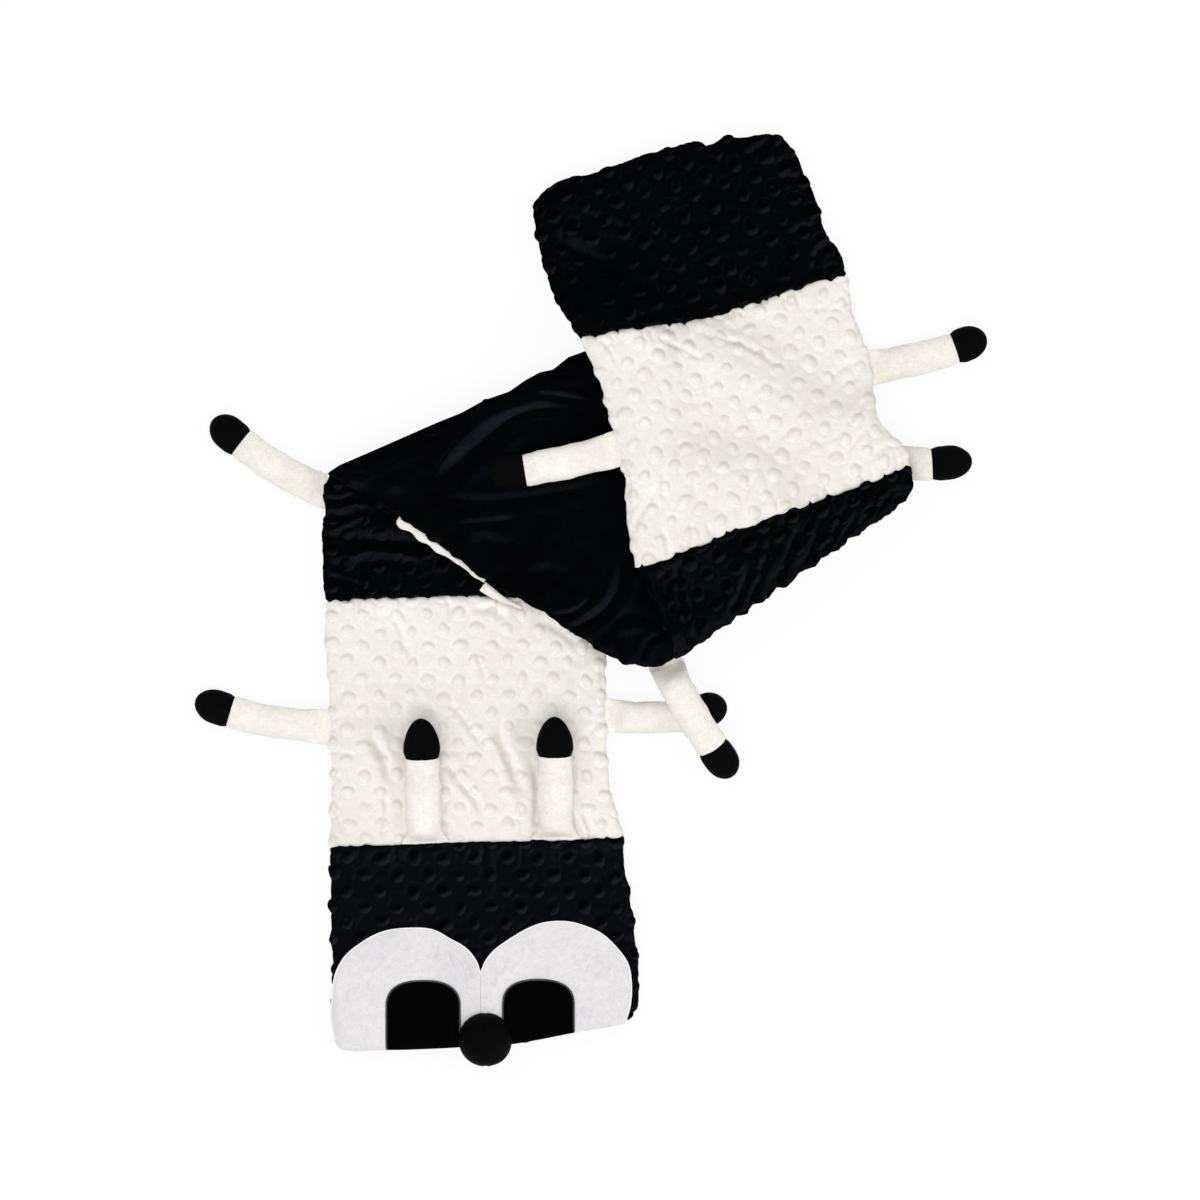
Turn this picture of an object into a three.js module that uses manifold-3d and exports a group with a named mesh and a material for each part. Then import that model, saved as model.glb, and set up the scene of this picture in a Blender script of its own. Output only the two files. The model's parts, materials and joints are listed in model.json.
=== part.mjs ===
// Weighted plush inchworm, a long flat pellet pad lying folded in a Z on the floor.
// Millimetres, Z up, the front of the folded toy towards -Y, its head at the front.
import * as THREE from 'three';
import Module from 'manifold-3d';

const wasm = await Module();
wasm.setup();
const { Manifold, Mesh: SolidMesh } = wasm;

// Pad, cloth and seams
const THICK = 24;            // full height of the filled pad
const CLOTH = 3;             // plush with its backing, one panel
const EDGE_HALF = 3.2;       // half height of a sewn edge: one panel and half a gap
const SEAM_GAP = 0.3;        // each chunk stops this far short of its seam
const LAYER_GAP = 0.5;       // air between two folded layers
const REST_REACH = 28;       // a layer spans this far from a point it rests on
const POUCH_GAP = 0.35;      // pellet pouch to panel
const SEAM_RUN = 28;         // the pad is full height this far from a seam
const SEAM_ROWS = [[0, 0], [8, 0.66], [SEAM_RUN, 1]];
const FOLD_ROWS = [[0, 0], [4, 0.56], [11, 0.82], [THICK, 1]];

// Legs, feelers, nose and face
const LEG_LENGTH = 124;
const LEG_WIDTH = 33;
const LEG_HEIGHT = 23.6;
const SLEEVE_PART = 0.72;    // share of the leg that is sleeve, the rest is foot
const FEELER_LENGTH = 124;
const FEELER_WIDTH = 34;
const FEELER_HEIGHT = 26;
const NOSE_D = 52.5;
const EYE_CLOTH = 1.6;
const PUPIL_CLOTH = 1.4;
const SEW_GAP = 0.4;         // applied cloth to the cloth under it
const ROOT_HALF = 1.6;       // a leg is flat where it is sewn in
const ROOT_GAP = 0.45;       // sewn end of a leg to the seam it is sewn in
const JOIN_GAP = 0.35;       // sleeve to foot, leg root to seam

const paint = {
  black: new THREE.MeshStandardMaterial({ color: '#0e1013', roughness: 0.95, metalness: 0 }),
  head: new THREE.MeshStandardMaterial({ color: '#15171a', roughness: 0.95, metalness: 0 }),
  white: new THREE.MeshStandardMaterial({ color: '#ece8e3', roughness: 0.95, metalness: 0 }),
  cream: new THREE.MeshStandardMaterial({ color: '#f0ede2', roughness: 0.95, metalness: 0 }),
  foot: new THREE.MeshStandardMaterial({ color: '#121315', roughness: 0.95, metalness: 0 }),
  eye: new THREE.MeshStandardMaterial({ color: '#e2e1e4', roughness: 0.9, metalness: 0 }),
  back: new THREE.MeshStandardMaterial({ color: '#0c0d10', roughness: 0.85, metalness: 0 }),
  pouch: new THREE.MeshStandardMaterial({ color: '#d9d6cf', roughness: 0.9, metalness: 0 }),
};

const group = new THREE.Group();
group.name = 'weighted_plush_inchworm';

const clamp = (v) => Math.min(1, Math.max(0, v));
const smooth = (v) => { const c = clamp(v); return c * c * (3 - 2 * c); };
const mix = (a, b, k) => a + (b - a) * k;

function addMesh(name, positions, triangles, material) {
  const geometry = new THREE.BufferGeometry();
  geometry.setAttribute('position', new THREE.Float32BufferAttribute(positions, 3));
  geometry.setIndex(triangles);
  geometry.computeVertexNormals();
  const mesh = new THREE.Mesh(geometry, material);
  mesh.name = name;
  group.add(mesh);
  return mesh;
}

// Corners of the pad on the floor plan: seam ends and fold ends, left then right of the strip
const seam = {
  nose: [[-247, -435], [39, -412]],
  neck: [[-254, -241], [34, -231]],
  waist: [[-257, -4], [19, 0]],
  fold1: [[-256, 119.5], [29, 252]],
  middle: [[-180, 73], [131, 202]],
  belly: [[-27, -32], [131, 202]],
  fold2: [[81, -62], [307, 94]],
  hip: [[42, 29], [309, 128]],
  rump: [[-11, 247], [251, 311]],
  end: [[-50, 391], [199, 437]],
};
const FOLD1_SPLIT = 0.544;   // share of the first fold that lies in black
const along = (line, k) => [mix(line[0][0], line[1][0], k), mix(line[0][1], line[1][1], k)];
const split1 = along(seam.fold1, FOLD1_SPLIT);
// The hidden corner of the lower layer is drawn in, clear of the tail when the toy is opened flat
const split1Right = [5, split1[1]];
const tuckedCorner = along(seam.fold1, 0.885);

// A smooth plan curve through a few measured points
function curve(points, kink) {
  if (kink) {
    return (k) => (k < kink ? along(points.slice(0, 2), k / kink)
      : along(points.slice(1), (k - kink) / (1 - kink)));
  }
  const line = new THREE.CatmullRomCurve3(points.map(([x, y]) => new THREE.Vector3(x, y, 0)),
    false, 'centripetal');
  return (k) => {
    if (points.length === 2) return along(points, k);
    const p = line.getPointAt(clamp(k));
    return [p.x, p.y];
  };
}

// A four-sided patch between two seams and two sides, each a curve
function patch(low, high, left, right) {
  return (a, b) => [0, 1].map((i) => {
    const rails = mix(low(a)[i], high(a)[i], b) + mix(left(b)[i], right(b)[i], a);
    const corners = mix(mix(low(0)[i], low(1)[i], a), mix(high(0)[i], high(1)[i], a), b);
    return rails - corners;
  });
}

// Legs: where each is sewn in, its heading as it leaves the seam and at the foot, its heights
const legs = [
  { name: 'white_1_left', run: 'front', at: [-255.5, -125], face: 180, turn: [175, 158], rise: [12, 12] },
  { name: 'white_1_right', run: 'front', at: [18, -114], face: 0, turn: [-11, 5], rise: [12, 12],
    length: 114 },
  { name: 'black_2_left', run: 'front', at: [-260, 100], face: 176, turn: [158, 139], rise: [12, 12] },
  { name: 'black_2_right', run: 'front', at: [21, 98], face: 0, turn: [-6, -18], rise: [12, 12] },
  { name: 'white_3_left', run: 'rear', at: [23, 142], face: 195, turn: [197, 186], rise: [60.5, 61.2] },
  { name: 'white_3_right', run: 'rear', at: [272, 222], face: 10, turn: [10, 20], rise: [12, 12],
    length: 116 },
  { name: 'black_3_left', run: 'middle', at: [72, -66], face: -88, turn: [-84, -60, -50, -44],
    rise: [12, 33, 37.8, 36.5, 27, 17] },
  { name: 'black_3_right', run: 'middle', at: [236, 140], face: 55, turn: [50, -26, -12, 8, 8], rise: [12, 12],
    length: 136 },
];
const hiddenLegs = [legs[3], legs[7]];

function between(values, k) {
  const at = clamp(k) * (values.length - 1);
  const low = Math.min(values.length - 2, Math.floor(at));
  return mix(values[low], values[low + 1], at - low);
}

function legPoint(leg, k) {
  const length = leg.length ?? LEG_LENGTH;
  const steps = 24;
  let [x, y] = leg.at;
  for (let i = 0; i < steps; i += 1) {
    const turn = THREE.MathUtils.degToRad(between(leg.turn, (i + 0.5) / steps * k));
    x += Math.cos(turn) * length * k / steps;
    y += Math.sin(turn) * length * k / steps;
  }
  return new THREE.Vector3(x, y, between(leg.rise, k));
}

function distanceToLeg(leg, x, y) {
  let least = Infinity;
  for (let i = 0; i <= 12; i += 1) {
    const p = legPoint(leg, i / 12);
    least = Math.min(least, Math.hypot(p.x - x, p.y - y));
  }
  return least;
}

// What each layer lies on: the run below, a hidden leg, or the floor beyond them
const bump = (leg, x, y, reach) => (LEG_HEIGHT + 1.4)
  * (1 - smooth((distanceToLeg(leg, x, y) - 17 - reach) / 42));
const overFront = (x, reach) => (THICK + LAYER_GAP) * (1 - smooth((x - 38 - reach) / 40));
function beyondMiddle(x, y) {
  const dx = x - seam.fold1[1][0];
  const dy = y - seam.fold1[1][1];
  const side = new THREE.Vector2(seam.fold2[1][0] - seam.fold1[1][0],
    seam.fold2[1][1] - seam.fold1[1][1]).normalize();
  const rim = new THREE.Vector2(seam.fold1[1][0] - seam.fold1[0][0],
    seam.fold1[1][1] - seam.fold1[0][1]).normalize();
  return Math.max(-side.y * dx + side.x * dy, -rim.y * dx + rim.x * dy);
}

// Top faces of the runs already laid, kept as triangles so the next run rests on what is there
const laid = { front: [], middle: [] };
function keepTops(run, grid) {
  for (let r = 0; r < grid.length - 1; r += 1) {
    for (let c = 0; c < grid[0].length - 1; c += 1) {
      const [p, q, s, t] = [grid[r][c], grid[r][c + 1], grid[r + 1][c + 1], grid[r + 1][c]];
      laid[run].push([p, q, s], [p, s, t]);
    }
  }
}
function heightAt(run, x, y) {
  let best = 0;
  for (const [p, q, s] of laid[run]) {
    const area = (q.x - p.x) * (s.y - p.y) - (s.x - p.x) * (q.y - p.y);
    const u = ((q.x - x) * (s.y - y) - (s.x - x) * (q.y - y)) / area;
    const v = ((s.x - x) * (p.y - y) - (p.x - x) * (s.y - y)) / area;
    if (u >= 0 && v >= 0 && u + v <= 1) best = Math.max(best, u * p.top + v * q.top + (1 - u - v) * s.top);
  }
  return best;
}
function highestNear(run, x, y) {
  let best = heightAt(run, x, y);
  for (let i = 0; i < 10; i += 1) {
    const turn = i / 10 * 2 * Math.PI;
    for (const reach of [REST_REACH / 3, REST_REACH * 2 / 3, REST_REACH]) {
      best = Math.max(best, heightAt(run, x + reach * Math.cos(turn), y + reach * Math.sin(turn)));
    }
  }
  return best > 0 ? best + LAYER_GAP : 0;
}
const support = {
  front: () => 0,
  middle: (x, y) => Math.max(overFront(x, 0), bump(hiddenLegs[0], x, y, 0), highestNear('front', x, y)),
  rear: (x, y) => {
    const below = Math.max(overFront(x, 6), bump(hiddenLegs[0], x, y, 12));
    const stack = (below + THICK + LAYER_GAP) * (1 - smooth((beyondMiddle(x, y) - 16) / 66));
    return Math.max(stack, bump(hiddenLegs[1], x, y, 4), highestNear('middle', x, y));
  },
};

// Rows across a patch: close together by its edges, evenly spread between them
function rowsAcross(length, firstRows, lastRows, step) {
  const rows = firstRows.map(([off, full]) => ({ k: off / length, first: full, last: 1 }));
  const from = firstRows.at(-1)[0];
  const to = length - lastRows.at(-1)[0];
  const count = Math.max(1, Math.round((to - from) / step));
  for (let i = 1; i < count; i += 1) {
    rows.push({ k: mix(from, to, i / count) / length, first: 1, last: 1 });
  }
  for (const [off, full] of [...lastRows].reverse()) {
    rows.push({ k: 1 - off / length, first: 1, last: full });
  }
  return rows;
}

// Closed skin between an upper and a lower sheet of grid points
function closedSheet(name, grid, upper, lower, material) {
  const rows = grid.length;
  const cols = grid[0].length;
  const positions = [];
  const triangles = [];
  for (const height of [upper, lower]) {
    for (const row of grid) for (const node of row) positions.push(node.x, node.y, height(node));
  }
  const id = (layer, r, c) => (layer * rows + r) * cols + c;
  for (let r = 0; r < rows - 1; r += 1) {
    for (let c = 0; c < cols - 1; c += 1) {
      const [p, q, s, t] = [[r, c], [r, c + 1], [r + 1, c + 1], [r + 1, c]];
      triangles.push(id(0, ...p), id(0, ...q), id(0, ...s), id(0, ...p), id(0, ...s), id(0, ...t));
      triangles.push(id(1, ...p), id(1, ...s), id(1, ...q), id(1, ...p), id(1, ...t), id(1, ...s));
    }
  }
  const rim = [];
  for (let c = 0; c < cols - 1; c += 1) rim.push([0, c]);
  for (let r = 0; r < rows - 1; r += 1) rim.push([r, cols - 1]);
  for (let c = cols - 1; c > 0; c -= 1) rim.push([rows - 1, c]);
  for (let r = rows - 1; r > 0; r -= 1) rim.push([r, 0]);
  rim.forEach((p, i) => {
    const q = rim[(i + 1) % rim.length];
    triangles.push(id(0, ...p), id(1, ...p), id(1, ...q), id(0, ...p), id(1, ...q), id(0, ...q));
  });
  return { positions, triangles, name, material };
}

function flipped(sheet) {
  for (let i = 0; i < sheet.triangles.length; i += 3) {
    [sheet.triangles[i + 1], sheet.triangles[i + 2]] = [sheet.triangles[i + 2], sheet.triangles[i + 1]];
  }
  return sheet;
}

// Side seams of the bands, where the legs are sewn in
const edges = [];
function seat(leg) {
  const out = new THREE.Vector2(Math.cos(leg.face * Math.PI / 180), Math.sin(leg.face * Math.PI / 180));
  const from = new THREE.Vector2(...leg.at);
  let best = { distance: Infinity };
  for (const { line } of edges.filter((edge) => edge.run === leg.run)) {
    for (let i = 0; i < line.length - 1; i += 1) {
      const p = new THREE.Vector2(line[i].x, line[i].y);
      const run = new THREE.Vector2(line[i + 1].x, line[i + 1].y).sub(p);
      const k = clamp(from.clone().sub(p).dot(run) / run.lengthSq());
      const foot = p.addScaledVector(run, k);
      const distance = foot.distanceTo(from);
      if (distance < best.distance) best = { distance, foot, run, i, k, line };
    }
  }
  const normal = new THREE.Vector2(-best.run.y, best.run.x).normalize();
  if (normal.dot(out) < 0) normal.negate();
  const middle = (n) => (n.top + n.bottom) / 2;
  const at = best.foot.addScaledVector(normal, ROOT_GAP);
  const z = mix(middle(best.line[best.i]), middle(best.line[best.i + 1]), best.k);
  const face = THREE.MathUtils.radToDeg(Math.atan2(normal.y, normal.x));
  return { ...leg, at: [at.x, at.y], face, rise: [z, ...leg.rise.slice(1)] };
}

// One band of the pad: dotted front panel, smooth back panel and the pellet pouch between them
function band({ name, run, low, high, left, right, width, length, lowFold, highFold, step, skin,
  kink, kinkFold }) {
  const wrap = (fold) => (fold ? FOLD_ROWS : SEAM_ROWS);
  const across = rowsAcross(width, SEAM_ROWS, SEAM_ROWS, step);
  const down = rowsAcross(length, wrap(lowFold), wrap(highFold), step);
  const nearest = (k) => across.reduce((a, c) => (Math.abs(c.k - k) < Math.abs(a - k) ? c.k : a), 0);
  const kinkAt = kink ? nearest(kink) : 0;
  const place = patch(curve(low, low.length === 3 && kinkAt), curve(high, high.length === 3 && kinkAt),
    curve(left), curve(right));
  const folded = (fold, k) => (fold && (!kink || (kinkFold > 0 ? k > kinkAt : k < kinkAt)) ? fold : 0);
  const least = 2 * EDGE_HALF;
  const grid = down.map((d) => across.map((c) => {
    const [x, y] = place(c.k, d.k);
    const side = c.first * c.last;
    const full = side * d.first * d.last;
    const height = least + (THICK - least) * full;
    const fold = folded(lowFold, c.k) * (1 - d.first) + folded(highFold, c.k) * (1 - d.last);
    const middle = THICK / 2 + fold * side * (THICK - least) / 2 + support[run](x, y);
    return { x, y, top: middle + height / 2, bottom: middle - height / 2 };
  }));
  for (const c of [0, grid[0].length - 1]) edges.push({ run, line: grid.map((row) => row[c]) });
  if (laid[run]) keepTops(run, grid);
  const inner = grid.slice(1, -1).map((row) => row.slice(1, -1));
  const faceUp = run !== 'middle';
  const mirrored = run === 'middle';
  const upName = faceUp ? `${name}_front_panel` : `${name}_back_panel`;
  const downName = faceUp ? `${name}_back_panel` : `${name}_front_panel`;
  const sheets = [
    closedSheet(upName, grid, (n) => n.top, (n) => n.top - CLOTH, faceUp ? skin : paint.back),
    closedSheet(downName, grid, (n) => n.bottom + CLOTH, (n) => n.bottom, faceUp ? paint.back : skin),
    closedSheet(`${name}_pellet_pouch`, inner, (n) => n.top - CLOTH - POUCH_GAP,
      (n) => n.bottom + CLOTH + POUCH_GAP, paint.pouch),
  ];
  for (const sheet of sheets) {
    const s = mirrored ? flipped(sheet) : sheet;
    addMesh(s.name, s.positions, s.triangles, s.material);
  }
  return { grid, mirrored };
}

// A seam moved along the strip by the seam gap, so neighbouring bands never touch
function inset(line, dx, dy, sign) {
  const size = Math.hypot(dx, dy);
  return line.map(([x, y]) => [x + sign * SEAM_GAP * dx / size, y + sign * SEAM_GAP * dy / size]);
}
const ahead = { front: [0.02, 1], middle: [0.83, -0.55], rear: [-0.27, 0.96] };
const after = (line, run) => inset(line, ...ahead[run], 1);
const before = (line, run) => inset(line, ...ahead[run], -1);
function side(start, finish, ...between) {
  return [start, ...between, finish];
}

function frontRun() {
  const flat = 60;
  const noseLine = [seam.nose[0], [-178, -437], [-105, -434], [-33, -424], seam.nose[1]];
  const neckLow = before(seam.neck, 'front');
  const head = band({ name: 'head', run: 'front', skin: paint.head, step: 52, width: 290, length: 196,
    low: noseLine, high: neckLow,
    left: side(noseLine[0], neckLow[0], [-252, -340]),
    right: side(noseLine.at(-1), neckLow[1], [48, -376], [46, -318]) });
  const neckHigh = after(seam.neck, 'front');
  const waistLow = before(seam.waist, 'front');
  band({ name: 'white_1', run: 'front', skin: paint.white, step: flat, width: 280, length: 235,
    low: neckHigh, high: waistLow,
    left: side(neckHigh[0], waistLow[0], [-255, -125]),
    right: side(neckHigh[1], waistLow[1], [20, -190], [17, -114], [16, -50]) });
  const waistHigh = after(seam.waist, 'front');
  const rim = before([seam.fold1[0], split1, split1Right], 'front');
  band({ name: 'black_2_lower', run: 'front', skin: paint.black, step: flat, width: 277, length: 175,
    low: waistHigh, high: rim, highFold: 1, kink: 0.56, kinkFold: -1,
    left: side(waistHigh[0], rim[0], [-259, 60]),
    right: side(waistHigh[1], rim[2], [19, 70], [17, 120]) });
  const cornerLow = [[split1[0] + 14, split1[1] + SEAM_GAP], [split1Right[0], split1[1] + SEAM_GAP]];
  const cornerHigh = before([along(seam.fold1, FOLD1_SPLIT + 0.09), tuckedCorner], 'front');
  band({ name: 'white_2_lower', run: 'front', skin: paint.white, step: flat, width: 102, length: 55,
    low: cornerLow, high: cornerHigh, highFold: 1,
    left: [cornerLow[0], cornerHigh[0]], right: [cornerLow[1], cornerHigh[1]] });
  return head;
}

function middleRun() {
  const draped = 33;
  const rimBlack = after([seam.fold1[0], along(seam.fold1, FOLD1_SPLIT - 0.06)], 'middle');
  const shoulderLow = before([seam.middle[0], along(seam.fold1, FOLD1_SPLIT)], 'middle');
  const blackTop = [shoulderLow[0], [mix(shoulderLow[0][0], shoulderLow[1][0], 0.9),
    mix(shoulderLow[0][1], shoulderLow[1][1], 0.9)]];
  band({ name: 'black_2_upper', run: 'middle', skin: paint.black, step: draped, width: 150, length: 70,
    low: rimBlack, high: blackTop, lowFold: -1,
    left: [rimBlack[0], blackTop[0]], right: [rimBlack[1], blackTop[1]] });
  const shoulderHigh = after([seam.middle[0], along(seam.fold1, FOLD1_SPLIT), seam.fold1[1]], 'middle');
  const bellyLow = before(seam.belly, 'middle');
  band({ name: 'white_2_upper', run: 'middle', skin: paint.white, step: draped, width: 290, length: 160,
    low: shoulderHigh, high: bellyLow, lowFold: -1, kink: 0.5, kinkFold: 1,
    left: side(shoulderHigh[0], bellyLow[0], [-105, 15]),
    right: [shoulderHigh[2], bellyLow[1]] });
  const bellyHigh = after(seam.belly, 'middle');
  const rim2 = before(seam.fold2, 'middle');
  band({ name: 'black_3_upper', run: 'middle', skin: paint.black, step: draped, width: 280, length: 160,
    low: bellyHigh, high: rim2, highFold: 1,
    left: side(bellyHigh[0], rim2[0], [16, -57], [53, -68]),
    right: [bellyHigh[1], rim2[1]] });
}

function rearRun() {
  const draped = 33;
  const rim = after(seam.fold2, 'rear');
  const hipLow = before(seam.hip, 'rear');
  band({ name: 'black_3_lower', run: 'rear', skin: paint.black, step: draped, width: 278, length: 70,
    low: rim, high: hipLow, lowFold: -1,
    left: side(rim[0], hipLow[0], [62, -14]), right: side(rim[1], hipLow[1], [311, 110]) });
  const hipHigh = after(seam.hip, 'rear');
  const rumpLow = before([seam.rump[0], [124, 273], seam.rump[1]], 'rear');
  band({ name: 'white_3', run: 'rear', skin: paint.white, step: draped, width: 280, length: 205,
    low: hipHigh, high: rumpLow,
    left: side(hipHigh[0], rumpLow[0], [35, 65], [29, 122], [12, 191]),
    right: side(hipHigh[1], rumpLow[2], [291, 157], [275, 200], [265, 255]) });
  const rumpHigh = after([seam.rump[0], [124, 273], seam.rump[1]], 'rear');
  band({ name: 'tail', run: 'rear', skin: paint.black, step: draped, width: 268, length: 155,
    low: rumpHigh, high: [seam.end[0], [-26, 406], [60, 432], [117, 442], [175, 451], seam.end[1]],
    left: side(rumpHigh[0], seam.end[0], [-43, 308], [-57, 365]),
    right: side(rumpHigh[2], seam.end[1], [240, 342], [213, 402]) });
}

// A stuffed tube along a path: each ring has a place along it, a half width and a half height
function stuffedTube(name, path, rings, material, roundEnd, face) {
  const sides = 12;
  const positions = [];
  const triangles = [];
  const up = new THREE.Vector3(0, 0, 1);
  for (const ring of rings) {
    const centre = path(ring.k);
    const tangent = path(Math.min(1, ring.k + 0.02)).sub(path(Math.max(0, ring.k - 0.02))).normalize();
    const squared = Math.max(0, 1 - rings.indexOf(ring) / 3);
    if (face !== undefined && squared > 0) {
      const turn = THREE.MathUtils.degToRad(face);
      const out = new THREE.Vector3(Math.cos(turn), Math.sin(turn), 0);
      tangent.lerp(out, squared > 0.5 ? 1 : squared).normalize();
    }
    const across = new THREE.Vector3().crossVectors(up, tangent).normalize();
    const lift = new THREE.Vector3().crossVectors(tangent, across).normalize();
    for (let i = 0; i < sides; i += 1) {
      const turn = i / sides * 2 * Math.PI;
      const p = centre.clone().addScaledVector(across, Math.cos(turn) * ring.wide)
        .addScaledVector(lift, Math.sin(turn) * ring.high).addScaledVector(tangent, ring.push ?? 0);
      positions.push(p.x, p.y, p.z);
    }
  }
  const last = rings.length - 1;
  for (let r = 0; r < last; r += 1) {
    for (let i = 0; i < sides; i += 1) {
      const j = (i + 1) % sides;
      const [p, q, s, t] = [r * sides + i, r * sides + j, (r + 1) * sides + j, (r + 1) * sides + i];
      triangles.push(p, q, s, p, s, t);
    }
  }
  for (const [ring, flip, reach] of [[0, true, 0], [last, false, roundEnd]]) {
    const centre = path(rings[ring].k);
    const tangent = path(Math.min(1, rings[ring].k + 0.02))
      .sub(path(Math.max(0, rings[ring].k - 0.02))).normalize();
    centre.addScaledVector(tangent, (rings[ring].push ?? 0) + reach);
    const tip = positions.length / 3;
    positions.push(centre.x, centre.y, centre.z);
    for (let i = 0; i < sides; i += 1) {
      const j = (i + 1) % sides;
      const [p, q] = [ring * sides + i, ring * sides + j];
      if (flip) triangles.push(tip, q, p); else triangles.push(tip, p, q);
    }
  }
  return addMesh(name, positions, triangles, material);
}

function limb(name, path, length, width, height, rootHigh, neck, face) {
  const w = width / 2;
  const h = height / 2;
  const gap = JOIN_GAP / length;
  const sleeve = [
    { k: 0, wide: w * 1.04, high: 0.4 },
    { k: 0.02, wide: w * 1.05, high: rootHigh },
    { k: 0.10, wide: w * 1.02, high: mix(rootHigh, h, neck) },
    { k: 0.24, wide: w * 0.98, high: h * 0.97 },
    { k: 0.48, wide: w * 0.97, high: h * 0.95 },
    { k: SLEEVE_PART - gap, wide: w * 0.94, high: h * 0.93 },
  ];
  const foot = [
    { k: SLEEVE_PART + gap, wide: w * 0.94, high: h * 0.93 },
    { k: 0.80, wide: w * 1.05, high: h },
    { k: 0.89, wide: w * 1.02, high: h * 0.98 },
    { k: 0.95, wide: w * 0.80, high: h * 0.78 },
    { k: 0.985, wide: w * 0.45, high: h * 0.45 },
  ];
  stuffedTube(`${name}_sleeve`, path, sleeve, paint.cream, 0, face);
  stuffedTube(`${name}_${name.startsWith('leg') ? 'foot' : 'tip'}`, path, foot, paint.foot, length * 0.012);
}

function eightLegs() {
  for (const leg of legs.map(seat)) {
    limb(`leg_${leg.name}`, (k) => legPoint(leg, k), leg.length ?? LEG_LENGTH, LEG_WIDTH, LEG_HEIGHT,
      ROOT_HALF, 0.5, leg.face);
    group.userData[leg.name] = [...leg.at, leg.rise[0], leg.face];
  }
}

// Feelers are sewn in the neck seam and lie back over the first white band, tips raised
const feelers = [{ name: 'left', x: -157 }, { name: 'right', x: -33 }];
const FEELER_OUT = [0, 7, 25, 53, 84, 116];
const FEELER_UP = [16, 31, 43, 51, 60, 70];
function feelerPoint(feeler, k) {
  const neckY = mix(seam.neck[0][1], seam.neck[1][1], (feeler.x - seam.neck[0][0]) / 288);
  return new THREE.Vector3(feeler.x, neckY + between(FEELER_OUT, k), between(FEELER_UP, k));
}

function twoFeelers() {
  for (const feeler of feelers) {
    limb(`feeler_${feeler.name}`, (k) => feelerPoint(feeler, k), FEELER_LENGTH, FEELER_WIDTH,
      FEELER_HEIGHT, ROOT_HALF, 0.18);
  }
}

// Boolean helpers for the cloth shapes sewn on the face
function toSolid({ positions, triangles }) {
  return new Manifold(new SolidMesh({ numProp: 3,
    vertProperties: new Float32Array(positions), triVerts: new Uint32Array(triangles) }));
}
function addSolid(name, solid, material) {
  const { vertProperties, triVerts } = solid.getMesh();
  return addMesh(name, Array.from(vertProperties), Array.from(triVerts), material);
}
function prism(outline) {
  const shape = new THREE.Shape(outline.map(([x, y]) => new THREE.Vector2(x, y)));
  const flat = new THREE.ExtrudeGeometry(shape, { depth: 90, bevelEnabled: false });
  const positions = [];
  const triangles = [];
  const seen = new Map();
  const source = flat.getAttribute('position');
  for (let i = 0; i < source.count; i += 1) {
    const key = [source.getX(i), source.getY(i), source.getZ(i)].map((v) => v.toFixed(4)).join(' ');
    if (!seen.has(key)) {
      seen.set(key, positions.length / 3);
      positions.push(source.getX(i), source.getY(i), source.getZ(i) - 20);
    }
    triangles.push(seen.get(key));
  }
  return toSolid({ positions, triangles });
}

// Arch outline of an eye or pupil: straight foot line and a rounded top
function arch(left, right, footLeft, footRight, top, square) {
  const points = [[left, footLeft], [right, footRight]];
  const steps = 18;
  const spring = top - (right - left) / 2 * square;
  for (let i = 0; i <= steps; i += 1) {
    const turn = i / steps * Math.PI;
    const c = Math.sign(Math.cos(turn)) * Math.abs(Math.cos(turn)) ** 0.8;
    const s = Math.sin(turn) ** 0.8;
    points.push([(left + right) / 2 + c * (right - left) / 2, spring + s * (top - spring)]);
  }
  return points;
}

function face(head) {
  const layer = (from, to) => toSolid(closedSheet('', head.grid, (n) => n.top + to, (n) => n.top + from));
  const eyeSheet = layer(SEW_GAP, SEW_GAP + EYE_CLOTH);
  const pupilFrom = 2 * SEW_GAP + EYE_CLOTH;
  const pupilSheet = layer(pupilFrom, pupilFrom + PUPIL_CLOTH);
  const meet = -106;
  const eyes = [
    { name: 'left', outline: arch(-250.5, meet - 0.3, -446, -446, -320, 0.93),
      pupil: arch(-196, -125, -446, -446, -370, 0.72) },
    { name: 'right', outline: arch(meet + 0.3, 40, -446, -446, -313, 0.93),
      pupil: arch(-84, -15.5, -446, -446, -368.5, 0.72) },
  ];
  for (const eye of eyes) {
    addSolid(`eye_${eye.name}`, eyeSheet.intersect(prism(eye.outline)), paint.eye);
    addSolid(`pupil_${eye.name}`, pupilSheet.intersect(prism(eye.pupil)), paint.foot);
  }
  const ball = new THREE.SphereGeometry(NOSE_D / 2, 24, 14);
  const positions = [];
  const triangles = [];
  const seen = new Map();
  const source = ball.getAttribute('position');
  const index = ball.getIndex();
  for (let i = 0; i < index.count; i += 1) {
    const v = [source.getX(index.getX(i)), source.getY(index.getX(i)), source.getZ(index.getX(i))];
    const key = v.map((c) => (Math.abs(c) < 1e-6 ? 0 : c).toFixed(4)).join(' ');
    if (!seen.has(key)) {
      seen.set(key, positions.length / 3);
      positions.push(v[0] - 100.6, -v[2] - 429, v[1] + NOSE_D / 2 + 0.4);
    }
    triangles.push(seen.get(key));
  }
  const bed = toSolid(closedSheet('', head.grid.map((row, r) => row.map((n) => (r === 0
    ? { ...n, y: n.y - SEW_GAP } : n))), (n) => n.top + pupilFrom + PUPIL_CLOTH + SEW_GAP, () => -40));
  addSolid('nose', toSolid({ positions, triangles }).subtract(bed), paint.foot);
}

const head = frontRun();
middleRun();
rearRun();
eightLegs();
twoFeelers();
face(head);

// Set the middle of the whole outline over the origin, the lowest point on the floor
const box = new THREE.Box3().setFromObject(group);
const centre = box.getCenter(new THREE.Vector3());
for (const mesh of group.children) mesh.geometry.translate(-centre.x, -centre.y, -box.min.z);

export default group;
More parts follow.
